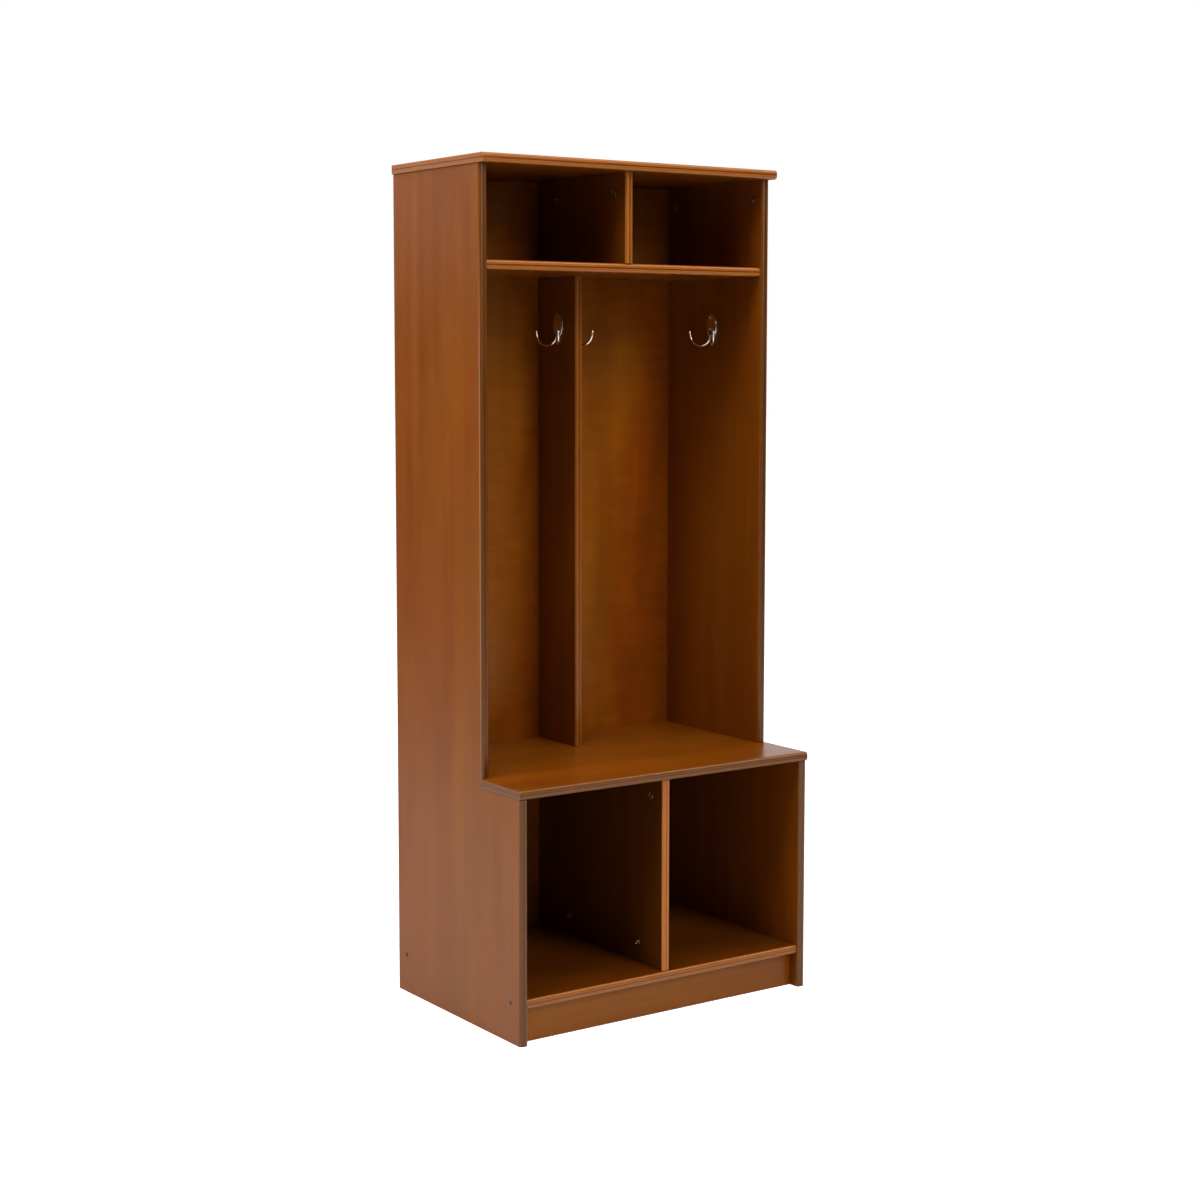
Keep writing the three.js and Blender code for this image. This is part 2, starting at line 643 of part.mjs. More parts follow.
for (const [name, side] of Object.entries({ left: -1, right: 1 })) {
  const panel = `${name}_side_panel`;
  const outwards = new THREE.Vector3(side, 0, 0);
  const inwards = opposite(outwards);
  const jointX = side * INNER_X;

  const camPlaces = { rear: SIDE_CAM_FROM_REAR, front: UPPER_DEPTH - SIDE_CAM_FROM_FRONT };
  for (const [end, distance] of Object.entries(camPlaces)) {
    const place = at(jointX, distance, TOP_UNDERSIDE - CAM_SETBACK);
    addCamLock(`${name}_${end}`, panel, "top_board", place, inwards, Z_AXIS);
  }

  const shelfDowels = { rear: DOWEL_FROM_EDGE, front: HAT_SHELF_DEPTH - DOWEL_FROM_EDGE };
  for (const [end, distance] of Object.entries(shelfDowels)) {
    const place = at(jointX, distance, HAT_SHELF_UNDERSIDE + BOARD / 2);
    addDowel(`hat_shelf_${name}_${end}`, "hat_shelf", panel, place, outwards);
  }

  const ledgeMiddle = at(side * (OUTER_X - BOARD / 2), (UPPER_DEPTH + LOWER_DEPTH) / 2, BENCH_UNDERSIDE);
  addDowel(`bench_${name}`, panel, "bench_seat", ledgeMiddle, Z_AXIS);

  const kickMiddle = at(jointX, LOWER_DEPTH - KICK_SETBACK - BOARD / 2, PLINTH_HEIGHT / 2);
  addDowel(`kick_plate_${name}`, "kick_plate", panel, kickMiddle, outwards);

  const screwPlaces = { rear: CONFIRMAT_FROM_REAR, front: LOWER_DEPTH - CONFIRMAT_FROM_FRONT };
  for (const [end, distance] of Object.entries(screwPlaces)) {
    const place = at(side * OUTER_X, distance, PLINTH_HEIGHT + BOARD / 2);
    addConfirmat(`${name}_${end}`, panel, place, outwards);
  }

  addHook(`${name}_side`, panel, jointX, SIDE_HOOK_FROM_REAR, -side);
}

const hatCams = { rear: HAT_CAM_FROM_REAR, front: HAT_DIVIDER_FRONT - HAT_CAM_FROM_FRONT };
for (const [end, distance] of Object.entries(hatCams)) {
  const place = at(DIVIDER_LEFT, distance, TOP_UNDERSIDE - CAM_SETBACK);
  addCamLock(`hat_divider_${end}`, "hat_divider", "top_board", place, LEFT, Z_AXIS);
}

const hatDowels = { rear: DOWEL_FROM_EDGE, front: HAT_DIVIDER_FRONT - DOWEL_FROM_EDGE };
for (const [end, distance] of Object.entries(hatDowels)) {
  addDowel(`hat_divider_${end}`, "hat_divider", "hat_shelf", at(0, distance, HAT_SHELF_TOP), DOWN);
}

const coatMiddle = REBATE_DEPTH + COAT_DIVIDER_DEPTH / 2;
const coatTop = at(0, coatMiddle, HAT_SHELF_UNDERSIDE);
addDowel("coat_divider_top", "coat_divider", "hat_shelf", coatTop, Z_AXIS);
addDowel("coat_divider_foot", "coat_divider", "bench_seat", at(0, coatMiddle, BENCH_HEIGHT), DOWN);
addHook("divider_left", "coat_divider", DIVIDER_LEFT, DIVIDER_LEFT_HOOK_FROM_REAR, -1);
addHook("divider_right", "coat_divider", -DIVIDER_LEFT, DIVIDER_RIGHT_HOOK_FROM_REAR, 1);

const shoeTopCams = { rear: SHOE_CAM_FROM_REAR, front: SHOE_DIVIDER_FRONT - SHOE_TOP_CAM_FROM_FRONT };
for (const [end, distance] of Object.entries(shoeTopCams)) {
  const place = at(DIVIDER_LEFT, distance, BENCH_UNDERSIDE - CAM_SETBACK);
  addCamLock(`shoe_divider_top_${end}`, "shoe_divider", "bench_seat", place, LEFT, Z_AXIS);
}
const shoeBottomCams = {
  rear: SHOE_CAM_FROM_REAR,
  front: SHOE_DIVIDER_FRONT - SHOE_BOTTOM_CAM_FROM_FRONT,
};
for (const [end, distance] of Object.entries(shoeBottomCams)) {
  const place = at(DIVIDER_LEFT, distance, BOTTOM_SHELF_TOP + CAM_SETBACK);
  addCamLock(`shoe_divider_foot_${end}`, "shoe_divider", "bottom_shelf", place, LEFT, DOWN);
}

// A board's mesh stands at the low corner of its own box.
function boardMesh(name, solid) {
  const geometry = geometryOf(solid);
  geometry.computeBoundingBox();
  const corner = geometry.boundingBox.min.clone();
  geometry.translate(-corner.x, -corner.y, -corner.z);
  const mesh = new THREE.Mesh(geometry, name.endsWith("back_panel") ? BACK_BIRCH : STAINED_BIRCH);
  mesh.name = name;
  mesh.position.copy(corner);
  return mesh;
}

const locker = new THREE.Group();
for (const [name, solid] of Object.entries(boards)) locker.add(boardMesh(name, solid));
locker.add(fittings);

export default locker;
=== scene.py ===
"""An open coat locker with a bench, finished for display.

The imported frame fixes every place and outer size. This file gives each board its rounded nose, eased
arrises, drilled holes and stained plywood finish, and gives each fitting its real surface: rolled
threads, fluted dowels, die-cast cams and cast double hooks. Lengths are in metres, +Z is up and -Y is
the open front.
"""

import json
import logging
import math
from dataclasses import dataclass, field, replace
from enum import Enum
from typing import Any, Sequence

import bmesh
import bpy
from mathutils import Matrix, Vector


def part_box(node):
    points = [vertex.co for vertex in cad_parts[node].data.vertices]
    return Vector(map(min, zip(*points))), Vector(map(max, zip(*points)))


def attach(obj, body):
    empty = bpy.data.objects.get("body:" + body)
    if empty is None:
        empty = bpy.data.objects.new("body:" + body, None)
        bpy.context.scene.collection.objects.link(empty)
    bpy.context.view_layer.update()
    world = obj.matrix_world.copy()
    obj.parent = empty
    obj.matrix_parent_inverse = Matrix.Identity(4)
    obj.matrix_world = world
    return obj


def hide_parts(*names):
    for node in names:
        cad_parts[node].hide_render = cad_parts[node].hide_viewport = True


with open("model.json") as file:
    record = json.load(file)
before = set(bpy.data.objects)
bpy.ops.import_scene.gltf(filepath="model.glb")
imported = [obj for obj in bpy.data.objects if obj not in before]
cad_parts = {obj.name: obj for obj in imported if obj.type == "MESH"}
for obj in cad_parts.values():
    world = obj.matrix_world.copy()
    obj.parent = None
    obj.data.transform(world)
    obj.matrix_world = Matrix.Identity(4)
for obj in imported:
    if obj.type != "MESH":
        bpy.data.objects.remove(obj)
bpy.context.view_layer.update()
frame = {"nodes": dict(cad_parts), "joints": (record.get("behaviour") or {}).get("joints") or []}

LOG = logging.getLogger("coat_locker")

MM = 0.001
SEAM = 0.3 * MM  # air between boards that meet, and round a fitting in its hole
UP = Vector((0, 0, 1))
CASE_BODY = "case"
SMOOTH_ANGLE = math.radians(32)  # a crease sharper than this stays sharp
FLAT_ANGLE = math.radians(1)  # faces that meet flatter than this are one
ROUND = 2 * math.pi
MIDDLE = 0.5  # the middle of a noise, whose values run from 0 to 1

Socket = bpy.types.NodeSocket
Box = tuple[Vector, Vector]
Profile = Sequence[tuple[float, float]]
Colour = tuple[float, float, float]


# ---- Node trees ----


class Graph:
    """Adds nodes to a shader or geometry tree and wires them by socket."""

    def __init__(self, tree: bpy.types.NodeTree) -> None:
        """Starts on a tree that may already hold nodes."""
        self.tree = tree

    def feed(self, socket: Socket, value: Any) -> None:
        """Gives an input its value.

        Args:
            socket: The input.
            value: Another node's output, which is linked, or a plain value, which is set.
        """
        if isinstance(value, Socket):
            self.tree.links.new(value, socket)
        else:
            socket.default_value = value

    def add(self, kind: str, inputs: dict[Any, Any] | None = None, **settings: Any) -> bpy.types.Node:
        """Adds a node.

        Args:
            kind: Blender's name for the type of node.
            inputs: Values or links, by the input's name or number.
            **settings: The node's own properties, such as its operation.

        Returns:
            The new node.
        """
        node = self.tree.nodes.new(kind)
        for name, value in settings.items():
            setattr(node, name, value)
        for name, value in (inputs or {}).items():
            self.feed(node.inputs[name], value)
        return node

    def math(self, operation: str, *values: Any, clamp: bool = False) -> Socket:
        """One step of arithmetic on up to three numbers.

        Args:
            operation: Blender's name for the operation.
            *values: The numbers or sockets, in order.
            clamp: Whether the result is held between 0 and 1.

        Returns:
            The result's socket.
        """
        inputs = dict(enumerate(values))
        return self.add("ShaderNodeMath", inputs, operation=operation, use_clamp=clamp).outputs[0]

    def vector(self, operation: str, *values: Any) -> Socket:
        """One step of vector arithmetic, whose result is a vector."""
        return self.add("ShaderNodeVectorMath", dict(enumerate(values)), operation=operation).outputs[0]

    def fade(self, value: Any, low: Any, high: Any, start: Any = 0.0, end: Any = 1.0) -> Socket:
        """A smooth step from one number to another.

        Args:
            value: What is measured.
            low: The value at which the step begins.
            high: The value at which it ends.
            start: The result below low.
            end: The result above high.

        Returns:
            The result's socket.
        """
        inputs = {0: value, 1: low, 2: high, 3: start, 4: end}
        return self.add("ShaderNodeMapRange", inputs, interpolation_type="SMOOTHSTEP").outputs[0]

    def noise(self, place: Socket, stretch: Sequence[float], detail: float = 2, bend: float = 0) -> Socket:
        """Soft noise, from 0 to 1, stretched along the axes.

        Args:
            place: The point to look up.
            stretch: Features per metre along each axis.
            detail: Octaves of finer noise.
            bend: How far the noise twists itself.

        Returns:
            The noise's value.
        """
        scaled = self.vector("MULTIPLY", place, tuple(stretch))
        inputs = {"Vector": scaled, "Scale": 1.0, "Detail": detail, "Distortion": bend}
        return self.add("ShaderNodeTexNoise", inputs).outputs["Fac"]

    def blend(self, share: Any, first: Any, second: Any, mode: str = "MIX") -> Socket:
        """Two colours mixed.

        Args:
            share: How much of the second colour, from 0 to 1.
            first: The first colour.
            second: The second colour.
            mode: Blender's name for the way they mix.

        Returns:
            The mixed colour.
        """
        node = self.add("ShaderNodeMix", data_type="RGBA", blend_type=mode, clamp_factor=True)
        for identifier, value in (("Factor_Float", share), ("A_Color", first), ("B_Color", second)):
            self.feed(next(s for s in node.inputs if s.identifier == identifier), value)
        return next(s for s in node.outputs if s.identifier == "Result_Color")


def new_group(
    name: str, kind: str, inputs: dict[str, Any], outputs: dict[str, str]
) -> tuple[Graph, Any, Any]:
    """A node group with named sockets and nothing in it yet.

    Args:
        name: The group's name.
        kind: ShaderNodeTree or GeometryNodeTree.
        inputs: Each input's socket type, or a pair of its type and first value, by name.
        outputs: Each output's socket type, by name.

    Returns:
        The graph to add to, the inner ends of the inputs, and the inner ends of the outputs.
    """
    tree = bpy.data.node_groups.new(name, kind)
    for label, given in inputs.items():
        wanted, value = given if isinstance(given, tuple) else (given, None)
        socket = tree.interface.new_socket(name=label, in_out="INPUT", socket_type=wanted)
        if value is not None:
            socket.default_value = value
    for label, wanted in outputs.items():
        tree.interface.new_socket(name=label, in_out="OUTPUT", socket_type=wanted)
    graph = Graph(tree)
    return graph, graph.add("NodeGroupInput").outputs, graph.add("NodeGroupOutput").inputs


# ---- Shader groups, each used by more than one finish ----


def make_wood_figure() -> bpy.types.NodeTree:
    """The figure of rotary-cut wood: soft clouds, long streaks, cross ripples and short pores.

    Returns:
        A group that reads a place with X along the grain and gives the tone, the warmth, a mask of
        pores and a height.
    """
    graph, given, result = new_group(
        "Wood Figure",
        "ShaderNodeTree",
        {
            "Place": "NodeSocketVector",
            "Seed": ("NodeSocketFloat", 0.0),
            "Cloud": ("NodeSocketFloat", 0.6),
            "Streak": ("NodeSocketFloat", 0.6),
            "Ripple": ("NodeSocketFloat", 0.1),
        },
        {
            "Tone": "NodeSocketFloat",
            "Warmth": "NodeSocketFloat",
            "Pores": "NodeSocketFloat",
            "Height": "NodeSocketFloat",
        },
    )
    shift = graph.add("ShaderNodeCombineXYZ", {axis: given["Seed"] for axis in range(3)})
    place = graph.vector("ADD", given["Place"], shift.outputs[0])
    cloud = graph.noise(place, (2.4, 8.5, 8.5), detail=3, bend=0.7)
    streak = graph.noise(place, (1.1, 30, 30), detail=2, bend=0.3)
    fibre = graph.noise(place, (16, 520, 520), detail=1)
    ripple = graph.noise(place, (42, 13, 13), detail=1, bend=0.5)
    tone = MIDDLE
    fibre_weight = 0.08
    weights = (given["Cloud"], given["Streak"], given["Ripple"], fibre_weight)
    for pattern, weight in zip((cloud, streak, ripple, fibre), weights):
        swing = graph.math("SUBTRACT", pattern, MIDDLE)
        tone = graph.math("MULTIPLY_ADD", swing, weight, tone, clamp=pattern is fibre)
    pore_start, pore_full = 0.66, 0.8
    pores = graph.fade(graph.noise(place, (60, 1300, 1300), detail=0), pore_start, pore_full)
    graph.feed(result["Tone"], tone)
    graph.feed(result["Warmth"], graph.noise(place, (1.1, 3.6, 3.6), detail=2, bend=0.5))
    graph.feed(result["Pores"], pores)
    graph.feed(result["Height"], graph.math("SUBTRACT", fibre, pores))
    return graph.tree


def make_ply_edge() -> bpy.types.NodeTree:
    """The plies that show wherever a veneered board is cut or rounded.

    Returns:
        A group that reads a place with Z through the thickness, measured from the middle, and gives a
        mask of what lies below the face, the tone of each ply, the glue lines and the cut rim of the
        face veneer, along which the finish paints a highlight.
    """
    graph, given, result = new_group(
        "Ply Edge",
        "ShaderNodeTree",
        {
            "Place": "NodeSocketVector",
            "Thickness": ("NodeSocketFloat", 18 * MM),
            "Plies": ("NodeSocketFloat", 7.0),
        },
        {
            "Edge": "NodeSocketFloat",
            "Ply": "NodeSocketFloat",
            "Glue": "NodeSocketFloat",
            "Rim": "NodeSocketFloat",
        },
    )
    through = graph.add("ShaderNodeSeparateXYZ", {0: given["Place"]}).outputs["Z"]
    half = graph.math("MULTIPLY", given["Thickness"], 0.5)
    depth = graph.math("SUBTRACT", half, graph.math("ABSOLUTE", through))
    unevenness = 0.5 * MM
    uneven = graph.math("SUBTRACT", graph.noise(given["Place"], (9, 9, 9)), MIDDLE)
    wobble = graph.math("MULTIPLY", uneven, unevenness)
    rise = graph.math("ADD", graph.math("ADD", through, half), wobble)
    count = graph.math("MULTIPLY", graph.math("DIVIDE", rise, given["Thickness"]), given["Plies"])
    step = graph.math("FRACT", count)
    near = graph.math("MINIMUM", step, graph.math("SUBTRACT", 1.0, step))
    cross = graph.math("ABSOLUTE", graph.math("SINE", graph.math("MULTIPLY", count, math.pi / 2)))
    wander = graph.noise(given["Place"], (12, 12, 420), detail=2)
    wander = graph.math("SUBTRACT", wander, MIDDLE)
    wander_weight = 0.9
    end_grain, long_grain = 0.12, 0.7
    glue_full, glue_none = 0.03, 0.12
    grain = graph.fade(cross, end_grain, long_grain)
    ply = graph.math("MULTIPLY_ADD", wander, wander_weight, grain, clamp=True)
    veneer_start, veneer_cut = 0.08 * MM, 0.5 * MM
    # The band along each arris where a highlight is painted into the colour.
    rim_start, rim_full, rim_fades, rim_ends = 0.1 * MM, 0.5 * MM, 1.2 * MM, 2.4 * MM
    graph.feed(result["Edge"], graph.fade(depth, veneer_start, veneer_cut))
    graph.feed(result["Ply"], ply)
    graph.feed(result["Glue"], graph.fade(near, glue_full, glue_none, 1.0, 0.0))
    rim_in = graph.fade(depth, rim_start, rim_full)
    rim_out = graph.fade(depth, rim_fades, rim_ends, 1.0, 0.0)
    graph.feed(result["Rim"], graph.math("MULTIPLY", rim_in, rim_out))
    return graph.tree


def make_surface_marks() -> bpy.types.NodeTree:
    """The marks of making and handling: wiped smears, pinpoint specks and a slow waviness.

    Returns:
        A group that reads a place and a scale, and gives a smear mask, a speck mask and a height.
    """
    graph, given, result = new_group(
        "Surface Marks",
        "ShaderNodeTree",
        {"Place": "NodeSocketVector", "Scale": ("NodeSocketFloat", 1.0)},
        {"Smear": "NodeSocketFloat", "Specks": "NodeSocketFloat", "Wave": "NodeSocketFloat"},
    )
    scale = graph.add("ShaderNodeCombineXYZ", {axis: given["Scale"] for axis in range(3)})
    place = graph.vector("MULTIPLY", given["Place"], scale.outputs[0])
    smear = graph.noise(place, (7, 11, 7), detail=1)
    speck_start, speck_full = 0.76, 0.84
    smear_start, smear_full = 0.3, 0.7
    specks = graph.fade(graph.noise(place, (900, 900, 900), detail=0), speck_start, speck_full)
    graph.feed(result["Smear"], graph.fade(smear, smear_start, smear_full))
    graph.feed(result["Specks"], specks)
    graph.feed(result["Wave"], graph.noise(place, (14, 14, 14), detail=1))
    return graph.tree


WOOD_FIGURE = make_wood_figure()
PLY_EDGE = make_ply_edge()
SURFACE_MARKS = make_surface_marks()


# ---- Finishes ----


class Run(Enum):
    """How a board lies: the axis that its grain follows and the axis of its thickness."""

    UPRIGHT = (2, 0)
    LEVEL = (0, 2)
    BACK = (2, 1)
    KICK = (0, 1)

    @property
    def through(self) -> int:
        """The axis of the thickness."""
        return self.value[1]

    @property
    def turn(self) -> Matrix:
        """The turn from a board's own axes (grain, across, through) to the locker's."""
        grain, through = (Vector([float(i == axis) for i in range(3)]) for axis in self.value)
        return Matrix((grain, through.cross(grain), through)).transposed()


class Finish:
    """A material under construction: its graph, its coordinates and its shader."""

    def __init__(self, name: str, centre: Vector = Vector(), turn: Matrix = Matrix.Identity(3)) -> None:
        """Starts a material whose patterns are centred and turned for one piece.

        Args:
            name: The material's name.
            centre: Where the piece's own axes cross, in the locker's frame.
            turn: The piece's own axes as the columns of a matrix.
        """
        self.material = bpy.data.materials.new(name)
        self.material.use_nodes = True
        self.graph = Graph(self.material.node_tree)
        self.material.node_tree.nodes.clear()
        self.shader = self.graph.add("ShaderNodeBsdfPrincipled")
        output = self.graph.add("ShaderNodeOutputMaterial")
        self.graph.feed(output.inputs["Surface"], self.shader.outputs["BSDF"])
        inputs = {
            "Vector": self.graph.add("ShaderNodeTexCoord").outputs["Object"],
            "Location": tuple(centre),
            "Rotation": tuple(turn.to_euler()),
        }
        self.place = self.graph.add("ShaderNodeMapping", inputs, vector_type="TEXTURE").outputs[0]

    def group(self, tree: bpy.types.NodeTree, **inputs: Any) -> Any:
        """Places a shader group that reads this finish's coordinates.

        Args:
            tree: The group.
            **inputs: Its other inputs, by name.

        Returns:
            The group's outputs.
        """
        node = self.graph.add("ShaderNodeGroup", node_tree=tree)
        for name, value in {"Place": self.place, **inputs}.items():
            self.graph.feed(node.inputs[name], value)
        return node.outputs

    def set(self, **inputs: Any) -> None:
        """Feeds the shader's own inputs, whose names are given with _ for a space."""
        for name, value in inputs.items():
            self.graph.feed(self.shader.inputs[name.replace("_", " ")], value)

    def bump(self, height: Socket, depth: float, strength: float = 1.0) -> None:
        """Raises the surface by a height pattern.

        Args:
            height: The pattern, about 1 from low to high.
            depth: How far 1 stands up, in metres.
            strength: How much of it shows.
        """
        node = self.graph.add("ShaderNodeBump", {"Height": height, "Distance": depth, "Strength": strength})
        self.set(Normal=node.outputs["Normal"])


def rgba(colour: Colour, tone: float = 1.0) -> tuple[float, float, float, float]:
    """A linear colour, lightened or darkened by a factor, with its alpha."""
    return (*(tone * part for part in colour), 1.0)


@dataclass(frozen=True)
class StainedPly:
    """Birch plywood stained warm brown, under a semi-gloss lacquer."""

    name: str
    slot: str
    deep: Colour  # where the stain took most
    light: Colour  # where it took least
    warm: Colour  # what the redder areas are multiplied by
    edge_deep: Colour  # end-grain plies
    edge_light: Colour  # long-grain plies
    rim: Colour  # painted highlight along the rim of the face veneer, where the rounded arrises catch the light
    plies: int = 4
    cloud: float = 0.75
    streak: float = 0.6
    ripple: float = 0.06
    roughness: float = 0.30
    gloss: float = 0.36
    lacquer: float = 0.06
    edge_lacquer: float = 0.38  # where it pooled on the rounded edges
    lacquer_roughness: float = 0.17
    sheen_tint: Colour = (1.0, 0.66, 0.32)  # of what the lacquer reflects head-on
    redden: tuple[float, float] = (0.38, 0.68)  # where the warmth sets in and is full
    pore_share: float = 0.12
    glue_share: float = 0.45
    rim_highlight_share: float = 0.8
    smear_share: float = 0.05  # of the roughness
    glue_groove: float = -0.4  # against the height of the waviness
    wave_depth: float = 0.12 * MM
    wave_strength: float = 0.4

    def material(self, board: "Board") -> bpy.types.Material:
        """The finish on one board, with a figure of its own.

        Args:
            board: The board, whose run turns the grain.

        Returns:
            The material.
        """
        low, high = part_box(board.node)
        finish = Finish(f"{self.name} {board.node}".replace("_", " "), (low + high) / 2, board.run.turn)
        graph = finish.graph
        thickness = (high - low)[board.run.through]
        weights = {"Cloud": self.cloud, "Streak": self.streak, "Ripple": self.ripple}
        figure = finish.group(WOOD_FIGURE, Seed=board.seed, **weights)
        ply = finish.group(PLY_EDGE, Thickness=thickness, Plies=float(self.plies))
        marks = finish.group(SURFACE_MARKS, Scale=1.0)

        # Each board's tone and edge tone lighten or darken the stain and the plies: painted light and shade
        # for where the board stands.
        face = graph.blend(figure["Tone"], rgba(self.deep, board.tone), rgba(self.light, board.tone))
        redness = graph.fade(figure["Warmth"], *self.redden)
        face = graph.blend(redness, face, graph.blend(1.0, face, rgba(self.warm), "MULTIPLY"))
        pores = graph.math("MULTIPLY", figure["Pores"], self.pore_share)
        face = graph.blend(pores, face, rgba(self.edge_deep))
        plies = (rgba(self.edge_deep, board.edge_light_and_shade), rgba(self.edge_light, board.edge_light_and_shade))
        edge = graph.blend(ply["Ply"], *plies)
        edge = graph.blend(graph.math("MULTIPLY", ply["Glue"], self.glue_share), edge, rgba(self.edge_deep))
        # A lighter band along the arrises: a painted highlight over the plies.
        rim = graph.math("MULTIPLY", ply["Rim"], self.rim_highlight_share)
        edge = graph.blend(rim, edge, rgba(self.rim, board.edge_light_and_shade))
        finish.set(Base_Color=graph.blend(ply["Edge"], face, edge))

        smoothest = self.roughness - self.smear_share / 2
        rough = graph.math("MULTIPLY_ADD", marks["Smear"], self.smear_share, smoothest)
        finish.set(Roughness=rough, Specular_IOR_Level=self.gloss, Specular_Tint=rgba(self.sheen_tint))
        pooled = graph.math("MULTIPLY_ADD", ply["Edge"], self.edge_lacquer - self.lacquer, self.lacquer)
        finish.set(Coat_Weight=pooled, Coat_Roughness=self.lacquer_roughness)
        grooves = graph.math("MULTIPLY", ply["Glue"], ply["Edge"])
        height = graph.math("MULTIPLY_ADD", grooves, self.glue_groove, marks["Wave"])
        finish.bump(height, self.wave_depth, self.wave_strength)
        return finish.material


@dataclass(frozen=True)
class Metal:
    """A metal with its own gloss, casting skin or drawn marks."""

    name: str
    slot: str
    colour: Colour
    tarnish: Colour
    roughness: float
    grain: float  # depth of the surface's own texture
    marks: float  # how fine that texture is
    smear_share: float = 0.45  # of the tarnish
    speck_share: float = 0.4
    smear_roughness: float = 0.1
    grain_strength: float = 0.5

    def material(self) -> bpy.types.Material:
        """The finish as a material.

        Returns:
            The material, which any number of pieces may share.
        """
        finish = Finish(self.name)
        graph = finish.graph
        marks = finish.group(SURFACE_MARKS, Scale=self.marks)
        specks = graph.math("MULTIPLY", marks["Specks"], self.speck_share)
        stain = graph.math("MULTIPLY_ADD", marks["Smear"], self.smear_share, specks)
        finish.set(Base_Color=graph.blend(stain, rgba(self.colour), rgba(self.tarnish)), Metallic=1.0)
        finish.set(Roughness=graph.math("MULTIPLY_ADD", marks["Smear"], self.smear_roughness, self.roughness))
        finish.bump(graph.math("ADD", marks["Wave"], marks["Specks"]), self.grain, self.grain_strength)
        return finish.material


@dataclass(frozen=True)
class BareBeech:
    """Turned beech left bare, with short fleck and glue stains."""

    name: str
    slot: str
    deep: Colour
    light: Colour
    roughness: float
    fleck_share: float = 0.6
    stain_share: float = 0.3
    smear_roughness: float = 0.08
    fleck_depth: float = 0.15 * MM
    fleck_strength: float = 0.6

    def material(self, turn: Matrix) -> bpy.types.Material:
        """The finish for rods whose grain runs one way.

        Args:
            turn: The rods' own axes as the columns of a matrix, grain first.

        Returns:
            The material.
        """
        finish = Finish(self.name, Vector(), turn)
        graph = finish.graph
        figure = finish.group(WOOD_FIGURE, Seed=3.0, Cloud=0.5, Streak=0.6, Ripple=0.2)
        marks = finish.group(SURFACE_MARKS, Scale=6.0)
        colour = graph.blend(figure["Tone"], rgba(self.deep), rgba(self.light))
        for mask, share in ((figure["Pores"], self.fleck_share), (marks["Smear"], self.stain_share)):
            colour = graph.blend(graph.math("MULTIPLY", mask, share), colour, rgba(self.deep))
        finish.set(Base_Color=colour)
        finish.set(Roughness=graph.math("MULTIPLY_ADD", marks["Smear"], self.smear_roughness, self.roughness))
        finish.bump(figure["Height"], self.fleck_depth, self.fleck_strength)
        return finish.material


BIRCH = StainedPly(
    name="stained birch",
    slot="stained_birch",
    deep=(0.088, 0.0180, 0.0006),
    light=(0.195, 0.0555, 0.0027),
    warm=(1.0, 0.88, 0.74),
    edge_deep=(0.050, 0.0095, 0.0006),
    edge_light=(0.215, 0.0580, 0.0042),
    rim=(0.250, 0.0760, 0.0080),
)
BACK_BIRCH = replace(
    BIRCH,
    name="back birch",
    slot="back_birch",
    deep=(0.092, 0.0210, 0.0005),
    light=(0.200, 0.0560, 0.0018),
    warm=(1.0, 0.76, 0.60),
    plies=2,
    cloud=1.25,
    streak=0.25,
    ripple=0.45,
)
BRIGHT_NICKEL = Metal(
    "bright nickel", "bright_nickel", (0.84, 0.77, 0.66), (0.56, 0.48, 0.38), 0.10, 0.02 * MM, 4
)
ZINC = Metal("zinc casting", "zinc", (0.46, 0.41, 0.34), (0.20, 0.17, 0.13), 0.20, 0.05 * MM, 5)
STEEL = Metal("plated steel", "steel", (0.58, 0.56, 0.52), (0.30, 0.26, 0.20), 0.28, 0.03 * MM, 8)
BLUED_STEEL = Metal("blued steel", "steel", (0.12, 0.10, 0.085), (0.05, 0.04, 0.035), 0.36, 0.03 * MM, 8)
BEECH = BareBeech("bare beech", "beech", (0.42, 0.24, 0.11), (0.66, 0.45, 0.25), 0.62)


# ---- Meshes ----


def mesh_from(bm: bmesh.types.BMesh, name: str = "work") -> bpy.types.Mesh:
    """A mesh from a finished bmesh, which is freed.

    Args:
        bm: The finished shape.
        name: The mesh's name.

    Returns:
        The mesh.
    """
    mesh = bpy.data.meshes.new(name)
    bm.to_mesh(mesh)
    bm.free()
    return mesh


def stand_in(mesh: bpy.types.Mesh) -> bpy.types.Object:
    """A work object for a mesh, in the scene so that it can be evaluated.

    Args:
        mesh: The mesh that it holds.

    Returns:
        The object, which the caller removes.
    """
    holder = bpy.data.objects.new("work", mesh)
    bpy.context.scene.collection.objects.link(holder)
    return holder


def taken_from(holder: bpy.types.Object) -> bpy.types.Mesh:
    """A work object's mesh with its modifiers applied. The object is removed.

    Args:
        holder: The work object.

    Returns:
        A plain mesh of its own.
    """
    graph = bpy.context.evaluated_depsgraph_get()
    mesh = bpy.data.meshes.new_from_object(holder.evaluated_get(graph), depsgraph=graph)
    bpy.data.objects.remove(holder)
    return mesh


def modified(mesh: bpy.types.Mesh, *steps: tuple[str, dict[str, Any]]) -> bpy.types.Mesh:
    """A mesh put through modifiers.

    Args:
        mesh: The mesh to start from.
        *steps: Each modifier's type and settings, in order.

    Returns:
        The result as a mesh of its own.
    """
    holder = stand_in(mesh)
    for kind, settings in steps:
        modifier = holder.modifiers.new(kind.lower(), kind)
        for name, value in settings.items():
            setattr(modifier, name, value)
    return taken_from(holder)


